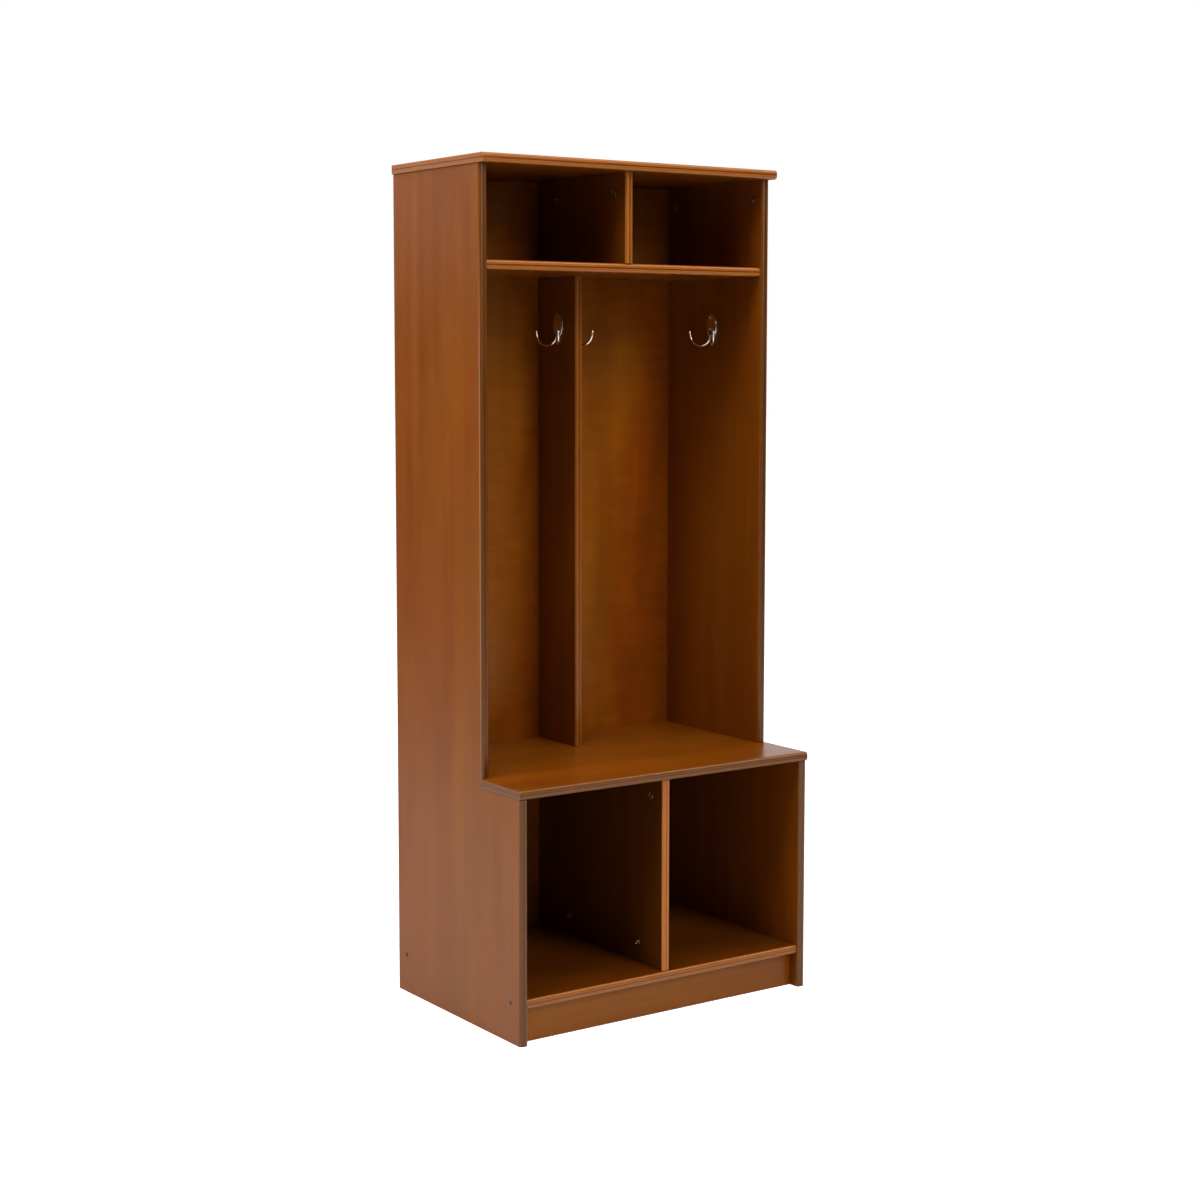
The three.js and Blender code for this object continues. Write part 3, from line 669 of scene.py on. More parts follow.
def grown(mesh: bpy.types.Mesh, tree: bpy.types.NodeTree, **inputs: Any) -> bpy.types.Mesh:
    """A mesh put through a geometry tree.

    Args:
        mesh: The tree's own geometry.
        tree: The geometry tree.
        **inputs: Its other inputs, by name with _ for a space.

    Returns:
        The result as a mesh of its own.
    """
    holder = stand_in(mesh)
    modifier = holder.modifiers.new("tree", "NODES")
    modifier.node_group = tree
    sockets = {s.name: s.identifier for s in tree.interface.items_tree if s.item_type == "SOCKET"}
    for name, value in inputs.items():
        modifier[sockets[name.replace("_", " ")]] = value
    return taken_from(holder)


def merged(meshes: Sequence[bpy.types.Mesh]) -> bpy.types.Mesh:
    """Several meshes as one, left as they lie.

    Args:
        meshes: The meshes.

    Returns:
        One mesh that holds them all.
    """
    bm = bmesh.new()
    for mesh in meshes:
        bm.from_mesh(mesh)
    return mesh_from(bm)


def combined(base: bpy.types.Mesh, tools: Sequence[bpy.types.Mesh], operation: str) -> bpy.types.Mesh:
    """A solid joined with, or cut by, other solids.

    Args:
        base: The solid to start from.
        tools: The other solids, which may overlap each other.
        operation: DIFFERENCE or UNION.

    Returns:
        The result as a mesh of its own.
    """
    if not tools:
        return base
    tool = stand_in(merged(tools))
    settings = {"operation": operation, "solver": "EXACT", "object": tool, "use_self": len(tools) > 1}
    made = modified(base, ("BOOLEAN", settings))
    bpy.data.objects.remove(tool)
    return made


def moved(mesh: bpy.types.Mesh, matrix: Matrix) -> bpy.types.Mesh:
    """A copy of a mesh, carried by a matrix.

    Args:
        mesh: The mesh, which is left as it is.
        matrix: What carries the copy.

    Returns:
        The copy.
    """
    copy = mesh.copy()
    copy.transform(matrix)
    return copy


def aimed(place: Vector, direction: Vector) -> Matrix:
    """The matrix that carries what is made along +Z at the origin to a place and a direction."""
    return Matrix.Translation(place) @ UP.rotation_difference(direction).to_matrix().to_4x4()


def block(low: Sequence[float], high: Sequence[float]) -> bpy.types.Mesh:
    """A rectangular solid between two corners.

    Args:
        low: The lowest corner.
        high: The highest corner.

    Returns:
        The solid.
    """
    low, high = Vector(low), Vector(high)
    bm = bmesh.new()
    size = Matrix.Diagonal((*(high - low), 1))
    bmesh.ops.create_cube(bm, size=1, matrix=Matrix.Translation((low + high) / 2) @ size)
    return mesh_from(bm)


def turned(profile: Profile, sides: int, ring: bool = False) -> bpy.types.Mesh:
    """A profile turned about +Z.

    Args:
        profile: Pairs of radius and height. It starts and ends on the axis, unless it is a ring's.
        sides: Faces round the axis.
        ring: Whether the profile closes on itself instead.

    Returns:
        The closed solid.
    """
    bm = bmesh.new()
    angles = [ROUND * i / sides for i in range(sides)]
    rings = []
    for radius, height in profile:
        around = angles if radius > 0 else angles[:1]
        rings.append([bm.verts.new((radius * math.cos(a), radius * math.sin(a), height)) for a in around])
    for low, high in zip(rings, rings[1:] + (rings[:1] if ring else [])):
        for i in range(sides):
            j = (i + 1) % sides
            corners = (low[i % len(low)], low[j % len(low)], high[j % len(high)], high[i % len(high)])
            bm.faces.new(tuple(dict.fromkeys(corners)))
    bmesh.ops.recalc_face_normals(bm, faces=bm.faces)
    return mesh_from(bm)


def rows(radius: float, start: float, end: float, count: int) -> list[tuple[float, float]]:
    """A straight stretch of profile in even rows, so that a thread can be rolled on it."""
    return [(radius, start + (end - start) * i / count) for i in range(count + 1)]


def cross_recess(length: float, width: float, depth: float) -> list[bpy.types.Mesh]:
    """A tapered cross for a screwdriver, sunk below z = 0.

    Args:
        length: Across the cross at the top.
        width: Of each arm at the top.
        depth: Down to the point.

    Returns:
        The two wedges to cut out.
    """
    narrowing, thinning = 0.45, 0.6  # of each arm at the point
    outline = [(-1, 1), (1, 1), (narrowing, -1), (-narrowing, -1)]
    wedges = []
    for turn in (0.0, math.pi / 2):
        bm = bmesh.new()
        sides = []
        for side in (-1, 1):
            half = side * width / 2
            arm = [(x * length / 2, half * (1 if z > 0 else thinning), z * depth) for x, z in outline]
            sides.append([bm.verts.new(corner) for corner in arm])
            bm.faces.new(sides[-1])
        for i in range(4):
            j = (i + 1) % 4
            bm.faces.new((sides[0][i], sides[0][j], sides[1][j], sides[1][i]))
        bmesh.ops.rotate(bm, verts=bm.verts, cent=(0, 0, 0), matrix=Matrix.Rotation(turn, 3, "Z"))
        bmesh.ops.recalc_face_normals(bm, faces=bm.faces)
        wedges.append(mesh_from(bm))
    return wedges


def shaded(mesh: bpy.types.Mesh) -> bpy.types.Mesh:
    """Smooth shading across soft creases, with flat faces kept flat.

    Args:
        mesh: The finished shape.

    Returns:
        The same shape with its normals set.
    """
    bm = bmesh.new()
    bm.from_mesh(mesh)
    for face in bm.faces:
        face.smooth = True
    for edge in bm.edges:
        edge.smooth = edge.is_manifold and edge.calc_face_angle(0.0) < SMOOTH_ANGLE
    weighting = ("WEIGHTED_NORMAL", {"keep_sharp": True, "mode": "FACE_AREA"})
    return modified(mesh_from(bm), weighting)


def add_piece(
    mesh: bpy.types.Mesh,
    nodes: Sequence[str],
    material: bpy.types.Material,
    body: str,
    name: str = "",
) -> bpy.types.Object:
    """Puts a finished mesh in the locker in place of the nodes that it stands for.

    Args:
        mesh: The shape, in the locker's frame.
        nodes: The frame's nodes that it replaces, if any.
        material: Its finish.
        body: The body that it moves with.
        name: Its name, if it isn't named after its first node.

    Returns:
        The piece.
    """
    piece = bpy.data.objects.new(name or f"{nodes[0]}_finished", shaded(mesh))
    piece.data.name = piece.name
    bpy.context.scene.collection.objects.link(piece)
    piece.data.materials.clear()
    piece.data.materials.append(material)
    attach(piece, body)
    if nodes:
        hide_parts(*nodes)
    LOG.info("%s: %d faces on %s", piece.name, len(piece.data.polygons), body)
    return piece


# ---- Geometry trees ----


def end_tree(graph: Graph, geometry: Socket, finish: Socket, result: Socket) -> None:
    """Ends a geometry tree: instances are made real and the finish is put on.

    Args:
        graph: The tree's graph.
        geometry: What the tree has made.
        finish: The finish that the tree was given.
        result: The tree's output.
    """
    real = graph.add("GeometryNodeRealizeInstances", {0: geometry}).outputs[0]
    dressed = graph.add("GeometryNodeSetMaterial", {"Geometry": real, "Material": finish}).outputs[0]
    graph.feed(result, dressed)


def make_rolled_thread() -> bpy.types.NodeTree:
    """Rolls a thread on a turned blank that stands along +Z.

    Returns:
        A tree with inputs for the stretch that is threaded, the pitch and the height of the crest.
    """
    inputs = {
        "Blank": "NodeSocketGeometry",
        "Start": ("NodeSocketFloat", 0.0),
        "End": ("NodeSocketFloat", 10 * MM),
        "Pitch": ("NodeSocketFloat", 1.5 * MM),
        "Crest": ("NodeSocketFloat", 0.5 * MM),
        "Finish": "NodeSocketMaterial",
    }
    outputs = {"Screw": "NodeSocketGeometry"}
    graph, given, result = new_group("Rolled Thread", "GeometryNodeTree", inputs, outputs)
    place = graph.add("GeometryNodeInputPosition").outputs[0]
    axes = graph.add("ShaderNodeSeparateXYZ", {0: place}).outputs
    turn = graph.math("DIVIDE", graph.math("ARCTAN2", axes["Y"], axes["X"]), ROUND)
    along = graph.math("DIVIDE", axes["Z"], given["Pitch"])
    step = graph.math("FRACT", graph.math("SUBTRACT", along, turn))
    from_crest = graph.math("ABSOLUTE", graph.math("MULTIPLY_ADD", step, 2.0, -1.0))
    ridge = graph.math("SUBTRACT", 1.0, from_crest)
    run_in = graph.fade(axes["Z"], given["Start"], graph.math("ADD", given["Start"], given["Pitch"]))
    last_turn = graph.math("SUBTRACT", given["End"], given["Pitch"])
    run_out = graph.fade(axes["Z"], last_turn, given["End"], 1.0, 0.0)
    height = graph.math("MULTIPLY", given["Crest"], graph.math("MULTIPLY", run_in, run_out))
    outwards = graph.vector("NORMALIZE", graph.vector("MULTIPLY", place, (1, 1, 0)))
    sharpness = 1.5
    offset = graph.add(
        "ShaderNodeVectorMath",
        {0: outwards, "Scale": graph.math("MULTIPLY", height, graph.math("POWER", ridge, sharpness))},
        operation="SCALE",
    )
    placed = graph.add("GeometryNodeSetPosition", {"Geometry": given["Blank"], "Offset": offset.outputs[0]})
    end_tree(graph, placed.outputs[0], given["Finish"], result["Screw"])
    return graph.tree


def make_cut_flutes() -> bpy.types.NodeTree:
    """Cuts straight flutes along a turned rod that stands along +Z.

    Returns:
        A tree with inputs for the number of flutes, their depth and how far along they run.
    """
    inputs = {
        "Blank": "NodeSocketGeometry",
        "Flutes": ("NodeSocketFloat", 16.0),
        "Depth": ("NodeSocketFloat", 0.3 * MM),
        "Reach": ("NodeSocketFloat", 14 * MM),
        "Finish": "NodeSocketMaterial",
    }
    outputs = {"Rod": "NodeSocketGeometry"}
    graph, given, result = new_group("Cut Flutes", "GeometryNodeTree", inputs, outputs)
    place = graph.add("GeometryNodeInputPosition").outputs[0]
    axes = graph.add("ShaderNodeSeparateXYZ", {0: place}).outputs
    angle = graph.math("ARCTAN2", axes["Y"], axes["X"])
    wave = graph.math("COSINE", graph.math("MULTIPLY", angle, given["Flutes"]))
    groove = graph.math("MULTIPLY_ADD", wave, 0.5, 0.5)
    inside = graph.math("LESS_THAN", graph.math("ABSOLUTE", axes["Z"]), given["Reach"])
    cut = graph.math("MULTIPLY", graph.math("MULTIPLY", groove, inside), given["Depth"])
    outwards = graph.vector("NORMALIZE", graph.vector("MULTIPLY", place, (1, 1, 0)))
    inputs = {0: outwards, "Scale": graph.math("MULTIPLY", cut, -1.0)}
    offset = graph.add("ShaderNodeVectorMath", inputs, operation="SCALE")
    placed = graph.add("GeometryNodeSetPosition", {"Geometry": given["Blank"], "Offset": offset.outputs[0]})
    end_tree(graph, placed.outputs[0], given["Finish"], result["Rod"])
    return graph.tree


def make_drawn_prong() -> bpy.types.NodeTree:
    """Sweeps a round wire, which thickens towards its root, along a bend and ends it in a ball.

    Returns:
        A tree with inputs for the bend's four control points, the wire's radii and the ball's.
    """
    inputs = {
        "Plate": "NodeSocketGeometry",
        "Root": "NodeSocketVector",
        "Root Handle": "NodeSocketVector",
        "Tip Handle": "NodeSocketVector",
        "Tip": "NodeSocketVector",
        "Root Radius": ("NodeSocketFloat", 3 * MM),
        "Tip Radius": ("NodeSocketFloat", 2 * MM),
        "Ball Radius": ("NodeSocketFloat", 3 * MM),
        "Finish": "NodeSocketMaterial",
    }
    outputs = {"Hook": "NodeSocketGeometry"}
    graph, given, result = new_group("Drawn Prong", "GeometryNodeTree", inputs, outputs)
    bend = graph.add(
        "GeometryNodeCurvePrimitiveBezierSegment",
        {
            "Resolution": 48,
            "Start": given["Root"],
            "Start Handle": given["Root Handle"],
            "End Handle": given["Tip Handle"],
            "End": given["Tip"],
        },
    ).outputs[0]
    along = graph.add("GeometryNodeSplineParameter").outputs["Factor"]
    tapered_by = 0.45  # along the wire
    radius = graph.fade(along, 0.0, tapered_by, given["Root Radius"], given["Tip Radius"])
    section = graph.add("GeometryNodeCurvePrimitiveCircle", {"Resolution": 20, "Radius": 1.0}).outputs[0]
    wire = graph.add(
        "GeometryNodeCurveToMesh",
        {"Curve": bend, "Profile Curve": section, "Scale": radius, "Fill Caps": True},
    ).outputs[0]
    ball = graph.add(
        "GeometryNodeMeshUVSphere", {"Segments": 24, "Rings": 16, "Radius": given["Ball Radius"]}
    ).outputs[0]
    ball = graph.add("GeometryNodeTransform", {"Geometry": ball, "Translation": given["Tip"]}).outputs[0]
    whole = graph.add("GeometryNodeJoinGeometry")
    for part in (given["Plate"], wire, ball):
        graph.feed(whole.inputs[0], part)
    end_tree(graph, whole.outputs[0], given["Finish"], result["Hook"])
    return graph.tree


def make_screw_rows() -> bpy.types.NodeTree:
    """Sets screws at an even pitch along each edge of a mesh, each turned its own way.

    Returns:
        A tree with inputs for the screw, the pitch, the turn that aims it, the seed and the finish.
    """
    inputs = {
        "Rows": "NodeSocketGeometry",
        "Screw": "NodeSocketObject",
        "Pitch": ("NodeSocketFloat", 0.15),
        "Aim": ("NodeSocketRotation", None),
        "Seed": ("NodeSocketInt", 0),
        "Finish": "NodeSocketMaterial",
    }
    outputs = {"Screws": "NodeSocketGeometry"}
    graph, given, result = new_group("Screw Rows", "GeometryNodeTree", inputs, outputs)
    line = graph.add("GeometryNodeMeshToCurve", {0: given["Rows"]}).outputs[0]
    spacing = {"Curve": line, "Length": given["Pitch"]}
    resampled = graph.add("GeometryNodeResampleCurve", spacing, mode="LENGTH")
    source = graph.add("GeometryNodeObjectInfo", {"Object": given["Screw"], "As Instance": True})
    spin = graph.add("FunctionNodeRandomValue", {"Seed": given["Seed"]}, data_type="FLOAT")
    spin.inputs[3].default_value = ROUND
    about = graph.add("ShaderNodeCombineXYZ", {"Z": spin.outputs[1]}).outputs[0]
    own_turn = graph.add("FunctionNodeEulerToRotation", {0: about}).outputs[0]
    aim = graph.add("FunctionNodeRotateRotation", {0: own_turn, 1: given["Aim"]}).outputs[0]
    inputs = {"Points": resampled.outputs[0], "Instance": source.outputs["Geometry"], "Rotation": aim}
    placed = graph.add("GeometryNodeInstanceOnPoints", inputs).outputs[0]
    end_tree(graph, placed, given["Finish"], result["Screws"])
    return graph.tree


ROLLED_THREAD = make_rolled_thread()
CUT_FLUTES = make_cut_flutes()
DRAWN_PRONG = make_drawn_prong()
SCREW_ROWS = make_screw_rows()


# ---- Screws ----


@dataclass(frozen=True)
class Screw:
    """A countersunk screw that stands below z = 0."""

    head_radius: float
    head_depth: float
    shank_radius: float
    shank_length: float
    core_radius: float
    crest: float
    pitch: float
    length: float
    sides: int = 24
    rows_per_turn: int = 8
    tip_share: tuple[float, float] = (0.35, 0.1)  # the blunt tip's radius and height
    lip_share: float = 0.12  # of the head's depth
    lip_slope: float = 1.6
    above: float = 3 * MM  # how far its hole's cutter stands above the head

    @property
    def taper(self) -> float:
        """The length of the point."""
        return 1.4 * self.core_radius

    def body(self, finish: bpy.types.Material) -> bpy.types.Mesh:
        """The screw with its thread and without its drive.

        Args:
            finish: What it is plated with.

        Returns:
            The solid.
        """
        start, end = self.taper - self.length, -self.shank_length
        count = max(4, round((end - start) / self.pitch * self.rows_per_turn))
        lip = self.lip_share * self.head_depth
        tip_radius, tip_height = self.tip_share
        profile = [
            (0, -self.length),
            (tip_radius * self.core_radius, tip_height * self.taper - self.length),
            *rows(self.core_radius, start, end, count),
            (self.shank_radius, end + self.core_radius / 2),
            (self.shank_radius, -self.head_depth),
            (self.head_radius - lip, -self.lip_slope * lip),
            (self.head_radius, -lip),
            (self.head_radius - lip, 0),
            (0, 0),
        ]
        blank = turned(profile, self.sides)
        inputs = {"Start": start, "End": end, "Pitch": self.pitch, "Crest": self.crest, "Finish": finish}
        return grown(blank, ROLLED_THREAD, **inputs)

    def hole(self, spare: float) -> bpy.types.Mesh:
        """What has to be cut away for the screw.

        Args:
            spare: Air round it.

        Returns:
            The cutter, open above the head.
        """
        wide = max(self.shank_radius, self.core_radius + self.crest) + spare
        profile = [
            (0, -self.length - spare),
            (wide, -self.length - spare),
            (wide, -self.head_depth - spare),
            (self.head_radius + spare, 0),
            (self.head_radius + spare, self.above),
            (0, self.above),
        ]
        return turned(profile, self.sides)


# ---- Boards ----


@dataclass
class Board:
    """One board: its node in the frame, the way it lies and how its edges are worked."""

    node: str
    run: Run
    finish: StainedPly
    seed: float
    nosed: bool = True
    tone: float = 1.0  # how light or dark it is painted: painted light where the board stands in light, painted shade where it stands in shade
    # How light or dark its cut edges are painted: painted light and shade on the edges.
    edge_light_and_shade: float = 1.15
    lift: float = 0.0  # how far its top rises to close the seam above it
    ends_round: float = 0.0  # radius on the arrises of its two ends
    nose: float = 6 * MM
    arris: float = 0.5 * MM
    nose_steps: int = 7

    def blank(self, low: Vector, high: Vector) -> bpy.types.Mesh:
        """A straight board with its two front arrises rounded.

        Args:
            low: Its lowest corner.
            high: Its highest corner.

        Returns:
            The solid.
        """
        bm = bmesh.new()
        bm.from_mesh(block(low, high))
        if self.nosed:
            across = ({0, 2} - {self.run.through}).pop()
            front = [
                e
                for e in bm.edges
                if all(v.co.y < low.y + MM for v in e.verts)
                and abs((e.verts[0].co - e.verts[1].co)[across]) > MM
            ]
            round_edges(bm, front, self.nose, self.nose_steps)
        if self.ends_round:
            ends = [
                e
                for e in bm.edges
                if any(all(abs(v.co.x - x) < MM / 10 for v in e.verts) for x in (low.x, high.x))
                and e.calc_face_angle(0.0) > SMOOTH_ANGLE
            ]
            round_edges(bm, ends, self.ends_round, 4)
        return mesh_from(bm)

    def shape(self) -> bpy.types.Mesh:
        """The board before its arrises are eased and its holes are drilled."""
        low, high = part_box(self.node)
        return self.blank(low, high + self.lift * UP)

    def eased(self, mesh: bpy.types.Mesh) -> bpy.types.Mesh:
        """The board with every sharp arris taken off.

        Args:
            mesh: The sharp board.

        Returns:
            The eased board.
        """
        bm = bmesh.new()
        bm.from_mesh(mesh)
        bmesh.ops.remove_doubles(bm, verts=bm.verts, dist=MM / 100)
        bmesh.ops.dissolve_limit(bm, angle_limit=FLAT_ANGLE, verts=bm.verts, edges=bm.edges)
        sharp = [e for e in bm.edges if e.is_convex and e.calc_face_angle(0.0) > SMOOTH_ANGLE]
        round_edges(bm, sharp, self.arris, 2)
        return mesh_from(bm)

    def build(self, holes: Sequence[bpy.types.Mesh]) -> bpy.types.Object:
        """Makes the board, drills it and dresses it.

        Args:
            holes: The cutters for every fitting in the locker.

        Returns:
            The finished piece.
        """
        own = [hole for hole in holes if overlap(mesh_box(hole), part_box(self.node))]
        mesh = combined(self.eased(self.shape()), own, "DIFFERENCE")
        return add_piece(mesh, [self.node], self.finish.material(self), CASE_BODY)


def round_edges(
    bm: bmesh.types.BMesh, edges: Sequence[bmesh.types.BMEdge], radius: float, steps: int
) -> None:
    """Rounds some edges of a solid.

    Args:
        bm: The solid.
        edges: The edges to round.
        radius: How far the round reaches from each edge.
        steps: Faces across the round.
    """
    bmesh.ops.bevel(
        bm,
        geom=list(edges),
        offset=radius,
        offset_type="OFFSET",
        segments=steps,
        profile=0.5,
        affect="EDGES",
        clamp_overlap=True,
    )


def mesh_box(mesh: bpy.types.Mesh) -> Box:
    """The lowest and highest corners of a mesh."""
    corners = [v.co for v in mesh.vertices]
    return tuple(Vector([pick(c[i] for c in corners) for i in range(3)]) for pick in (min, max))


def overlap(first: Box, second: Box) -> bool:
    """Whether two boxes share any space."""
    return all(first[0][i] < second[1][i] and second[0][i] < first[1][i] for i in range(3))


@dataclass
class SidePanel(Board):
    """A side panel: deep below the bench, shallow above it, and rebated at the rear for the back."""

    top_overhang: float = 20 * MM  # the top board past the panel's upper front edge

    def shape(self) -> bpy.types.Mesh:
        """The two depths joined, with the rebate cut.

        Returns:
            The solid.
        """
        low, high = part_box(self.node)
        upper_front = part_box("top_board")[0].y + self.top_overhang
        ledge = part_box("bench_seat")[0].z - SEAM
        upper = self.blank(Vector((low.x, upper_front, low.z)), high)
        lower = self.blank(low, Vector((high.x, high.y, ledge)))
        back_low, back_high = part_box("lower_back_panel")
        reach = MM + max(high.z, high.y)
        rebate = block((back_low.x - SEAM, back_low.y - SEAM, -MM), (back_high.x + SEAM, reach, reach))
        return combined(combined(upper, [lower], "UNION"), [rebate], "DIFFERENCE")


@dataclass
class BenchSeat(Board):
    """The bench, notched at its rear corners to fit between the side panels."""

    top_overhang: float = 20 * MM

    def shape(self) -> bpy.types.Mesh:
        """The bench with its notches cut.

        Returns:
            The solid.
        """
        low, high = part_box(self.node)
        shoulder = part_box("top_board")[0].y + self.top_overhang - SEAM
        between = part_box("hat_shelf")
        notches = [
            block((low.x - MM, shoulder, low.z - MM), (between[0].x, high.y + MM, high.z + MM)),
            block((between[1].x, shoulder, low.z - MM), (high.x + MM, high.y + MM, high.z + MM)),
        ]
        return combined(self.blank(low, high), notches, "DIFFERENCE")


@dataclass
class Case:
    """Every board of the locker."""

    corner: float = 1.6 * MM  # radius on the ends of the boards whose ends show

    def boards(self) -> list[Board]:
        """Lists the boards.

        Returns:
            One object for each.
        """
        # Tones paint light and shade into the boards: lighter on the side panels, bench, kick plate and back
        # panels, darker on the hat and shoe dividers and the bottom shelf, which stand in shade. Edge tones
        # do the same for each board's cut edges.
        side = {"tone": 1.12, "edge_light_and_shade": 0.42}
        bench = {"tone": 1.15, "edge_light_and_shade": 0.56, "ends_round": self.corner}
        back = {"nosed": False, "lift": 0.9 * SEAM}
        return [
            SidePanel("left_side_panel", Run.UPRIGHT, BIRCH, 4.0, **side),
            SidePanel("right_side_panel", Run.UPRIGHT, BIRCH, 9.0, **side),
            Board("top_board", Run.LEVEL, BIRCH, 14.0, ends_round=self.corner),
            BenchSeat("bench_seat", Run.LEVEL, BIRCH, 19.0, **bench),
            Board("hat_shelf", Run.LEVEL, BIRCH, 24.0),
            Board("bottom_shelf", Run.LEVEL, BIRCH, 29.0, tone=0.62),
            Board("hat_divider", Run.UPRIGHT, BIRCH, 34.0, tone=0.8),
            Board("coat_divider", Run.UPRIGHT, BIRCH, 39.0, edge_light_and_shade=1.0),
            Board("shoe_divider", Run.UPRIGHT, BIRCH, 44.0, tone=0.55, edge_light_and_shade=1.7),
            Board("kick_plate", Run.KICK, BIRCH, 49.0, tone=1.2, nosed=False),
            Board("upper_back_panel", Run.BACK, BACK_BIRCH, 54.0, tone=1.2, **back),
            Board("lower_back_panel", Run.BACK, BACK_BIRCH, 59.0, tone=1.2, **back),
        ]

    def build(self, holes: Sequence[bpy.types.Mesh]) -> None:
        """Makes each board and drills it for the fittings that pass into it."""
        for board in self.boards():
            board.build(holes)


# ---- Fittings ----


@dataclass
class CamLocks:
    """The cams that turn in the faces of the boards, and the bolts that they draw in."""

    radius: float = 7.5 * MM
    depth: float = 14 * MM
    axis_depth: float = 9 * MM  # cam's face to the bolt's axis
    core: float = 1.8 * MM
    wall: float = 1.4 * MM
    turn: float = math.pi
    turn_spare: float = math.radians(20)
    setback: float = 39 * MM  # cam's axis to the end of its board
    bite: float = 11 * MM  # of the bolt in the next board
    bolt_head: float = 3.1 * MM
    bolt_neck: float = 1.5 * MM
    bolt_shank: float = 3.4 * MM
    bolt_core: float = 2.4 * MM
    bolt_crest: float = 0.6 * MM
    clearance: float = 0.4 * MM
    pointer: float = 1 * MM  # of the arrow that shows where the cam grips
    lip: float = 0.5 * MM
    groove: float = 0.5 * MM
    groove_reach: tuple[float, float] = (2.6 * MM, 1.2 * MM)  # its two edges in from the rim
    cross: tuple[float, float, float] = (7 * MM, 1.6 * MM, 2.5 * MM)  # length, width and depth
    shank_gap: float = 2.3 * MM  # cam's rim to the bolt's shank
    bolt_lip: float = 0.3 * MM
    bolt_pitch: float = 1.4 * MM
    bolt_rows: int = 48
    bolt_sides: int = 28
    above: float = 2 * MM  # how far a pocket's cutter stands above the face
    hole_sides: int = 24
    sides: int = 56

    def cam(self) -> bpy.types.Mesh:
        """One cam below z = 0, drawing in a bolt that comes along +X.

        Returns:
            The solid.
        """
        lip, groove = self.lip, self.groove
        inner, outer = (self.radius - reach for reach in self.groove_reach)
        body = turned(
            [
                (0, -self.depth),
                (self.radius - lip, -self.depth),
                (self.radius, lip - self.depth),
                (self.radius, -lip),
                (self.radius - 0.3 * lip, -0.3 * lip),
                (self.radius - lip, 0),
                (outer + 0.3 * lip, -0.5 * lip),
                (outer, -groove),
                (inner, -groove),
                (inner - lip / 2, 0),
                (0, 0),
            ],
            self.sides,
        )
        half = self.bolt_head + self.clearance
        chamber_radius = self.radius - self.wall
        floor, roof = -self.axis_depth - half, half - self.axis_depth
        chamber = turned(
            [(self.core, floor), (chamber_radius, floor), (chamber_radius, roof), (self.core, roof)],
            self.sides,
            ring=True,
        )
        doorway = moved(
            turned([(0, 0), (half, 0), (half, self.radius), (0, self.radius)], self.hole_sides),
            aimed(Vector((-self.core - self.clearance, 0, -self.axis_depth)), Vector((-1, 0, 0))),
        )
        cross = cross_recess(*self.cross)
        pointer = [(0, -groove), (self.pointer, -groove), (self.pointer, MM), (0, MM)]
        arrow = moved(turned(pointer, 3), Matrix.Translation((inner - self.pointer, 0, 0)))
        return combined(body, [chamber, self.slot(), doorway, arrow, *cross], "DIFFERENCE")

    def slot(self) -> bpy.types.Mesh:
        """The slot in the rim that the bolt's neck stands in while the cam turns.

        Returns:
            The cutter.
        """
        half = self.bolt_neck + self.clearance
        radii = (self.radius - self.wall - SEAM, self.radius + self.wall)
        around = zip((*radii, *reversed(radii)), (-half, -half, half, half))
        section = [(r, z - self.axis_depth) for r, z in around]
        start, end = -self.turn - self.turn_spare, self.turn_spare
        steps = self.sides // 2
        bm = bmesh.new()
        rings = []
        for i in range(steps + 1):
            angle = start + (end - start) * i / steps
            rings.append([bm.verts.new((r * math.cos(angle), r * math.sin(angle), z)) for r, z in section])
        for low, high in zip(rings, rings[1:]):
            for i in range(4):
                j = (i + 1) % 4
                bm.faces.new((low[i], low[j], high[j], high[i]))
        bm.faces.new(rings[0])
        bm.faces.new(rings[-1])
        bmesh.ops.recalc_face_normals(bm, faces=bm.faces)
        return mesh_from(bm)

    def bolt(self, finish: bpy.types.Material) -> bpy.types.Mesh:
        """One bolt along +Z, with the cam's axis at z = 0.

        Args:
            finish: What it is plated with.

        Returns:
            The solid.
        """
        chamber = self.radius - self.wall - self.clearance
        neck = math.sqrt(chamber**2 - self.bolt_head**2)
        shank = self.radius + self.shank_gap
        head = self.core + self.clearance
        tip = self.setback + self.bite
        lip = self.bolt_lip
        thread_end = tip - self.bolt_core
        profile = [
            (0, head),
            (self.bolt_head - lip, head),
            (self.bolt_head, head + lip),
            (self.bolt_head, neck - lip),
            (self.bolt_head - lip, neck),
            (self.bolt_neck, neck + lip / 2),
            (self.bolt_neck, shank - lip),
            (self.bolt_shank - lip, shank),
            (self.bolt_shank, shank + lip),
            (self.bolt_shank, self.setback - lip),
            *rows(self.bolt_core, self.setback, thread_end, self.bolt_rows),
            (0, tip),
        ]
        return grown(
            turned(profile, self.bolt_sides),
            ROLLED_THREAD,
            Start=self.setback,
            End=thread_end,
            Pitch=self.bolt_pitch,
            Crest=self.bolt_crest,
            Finish=finish,
        )

    def seats(self) -> list[tuple[str, str, Vector, Vector, Vector]]:
        """Where each cam sits.

        Returns:
            Its name, its body, the middle of its face, the face's normal and the bolt's direction.
        """
        found = []
        for joint in frame["joints"]:
            label = joint["child"].removesuffix("_disc")
            low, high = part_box(f"cam_bolt_{label}")
            place = Vector(joint["pos_m"])
            towards = UP if (low + high).z / 2 > place.z else -UP
            found.append((label, joint["child"], place, Vector(joint["axis"]), towards))
        return found

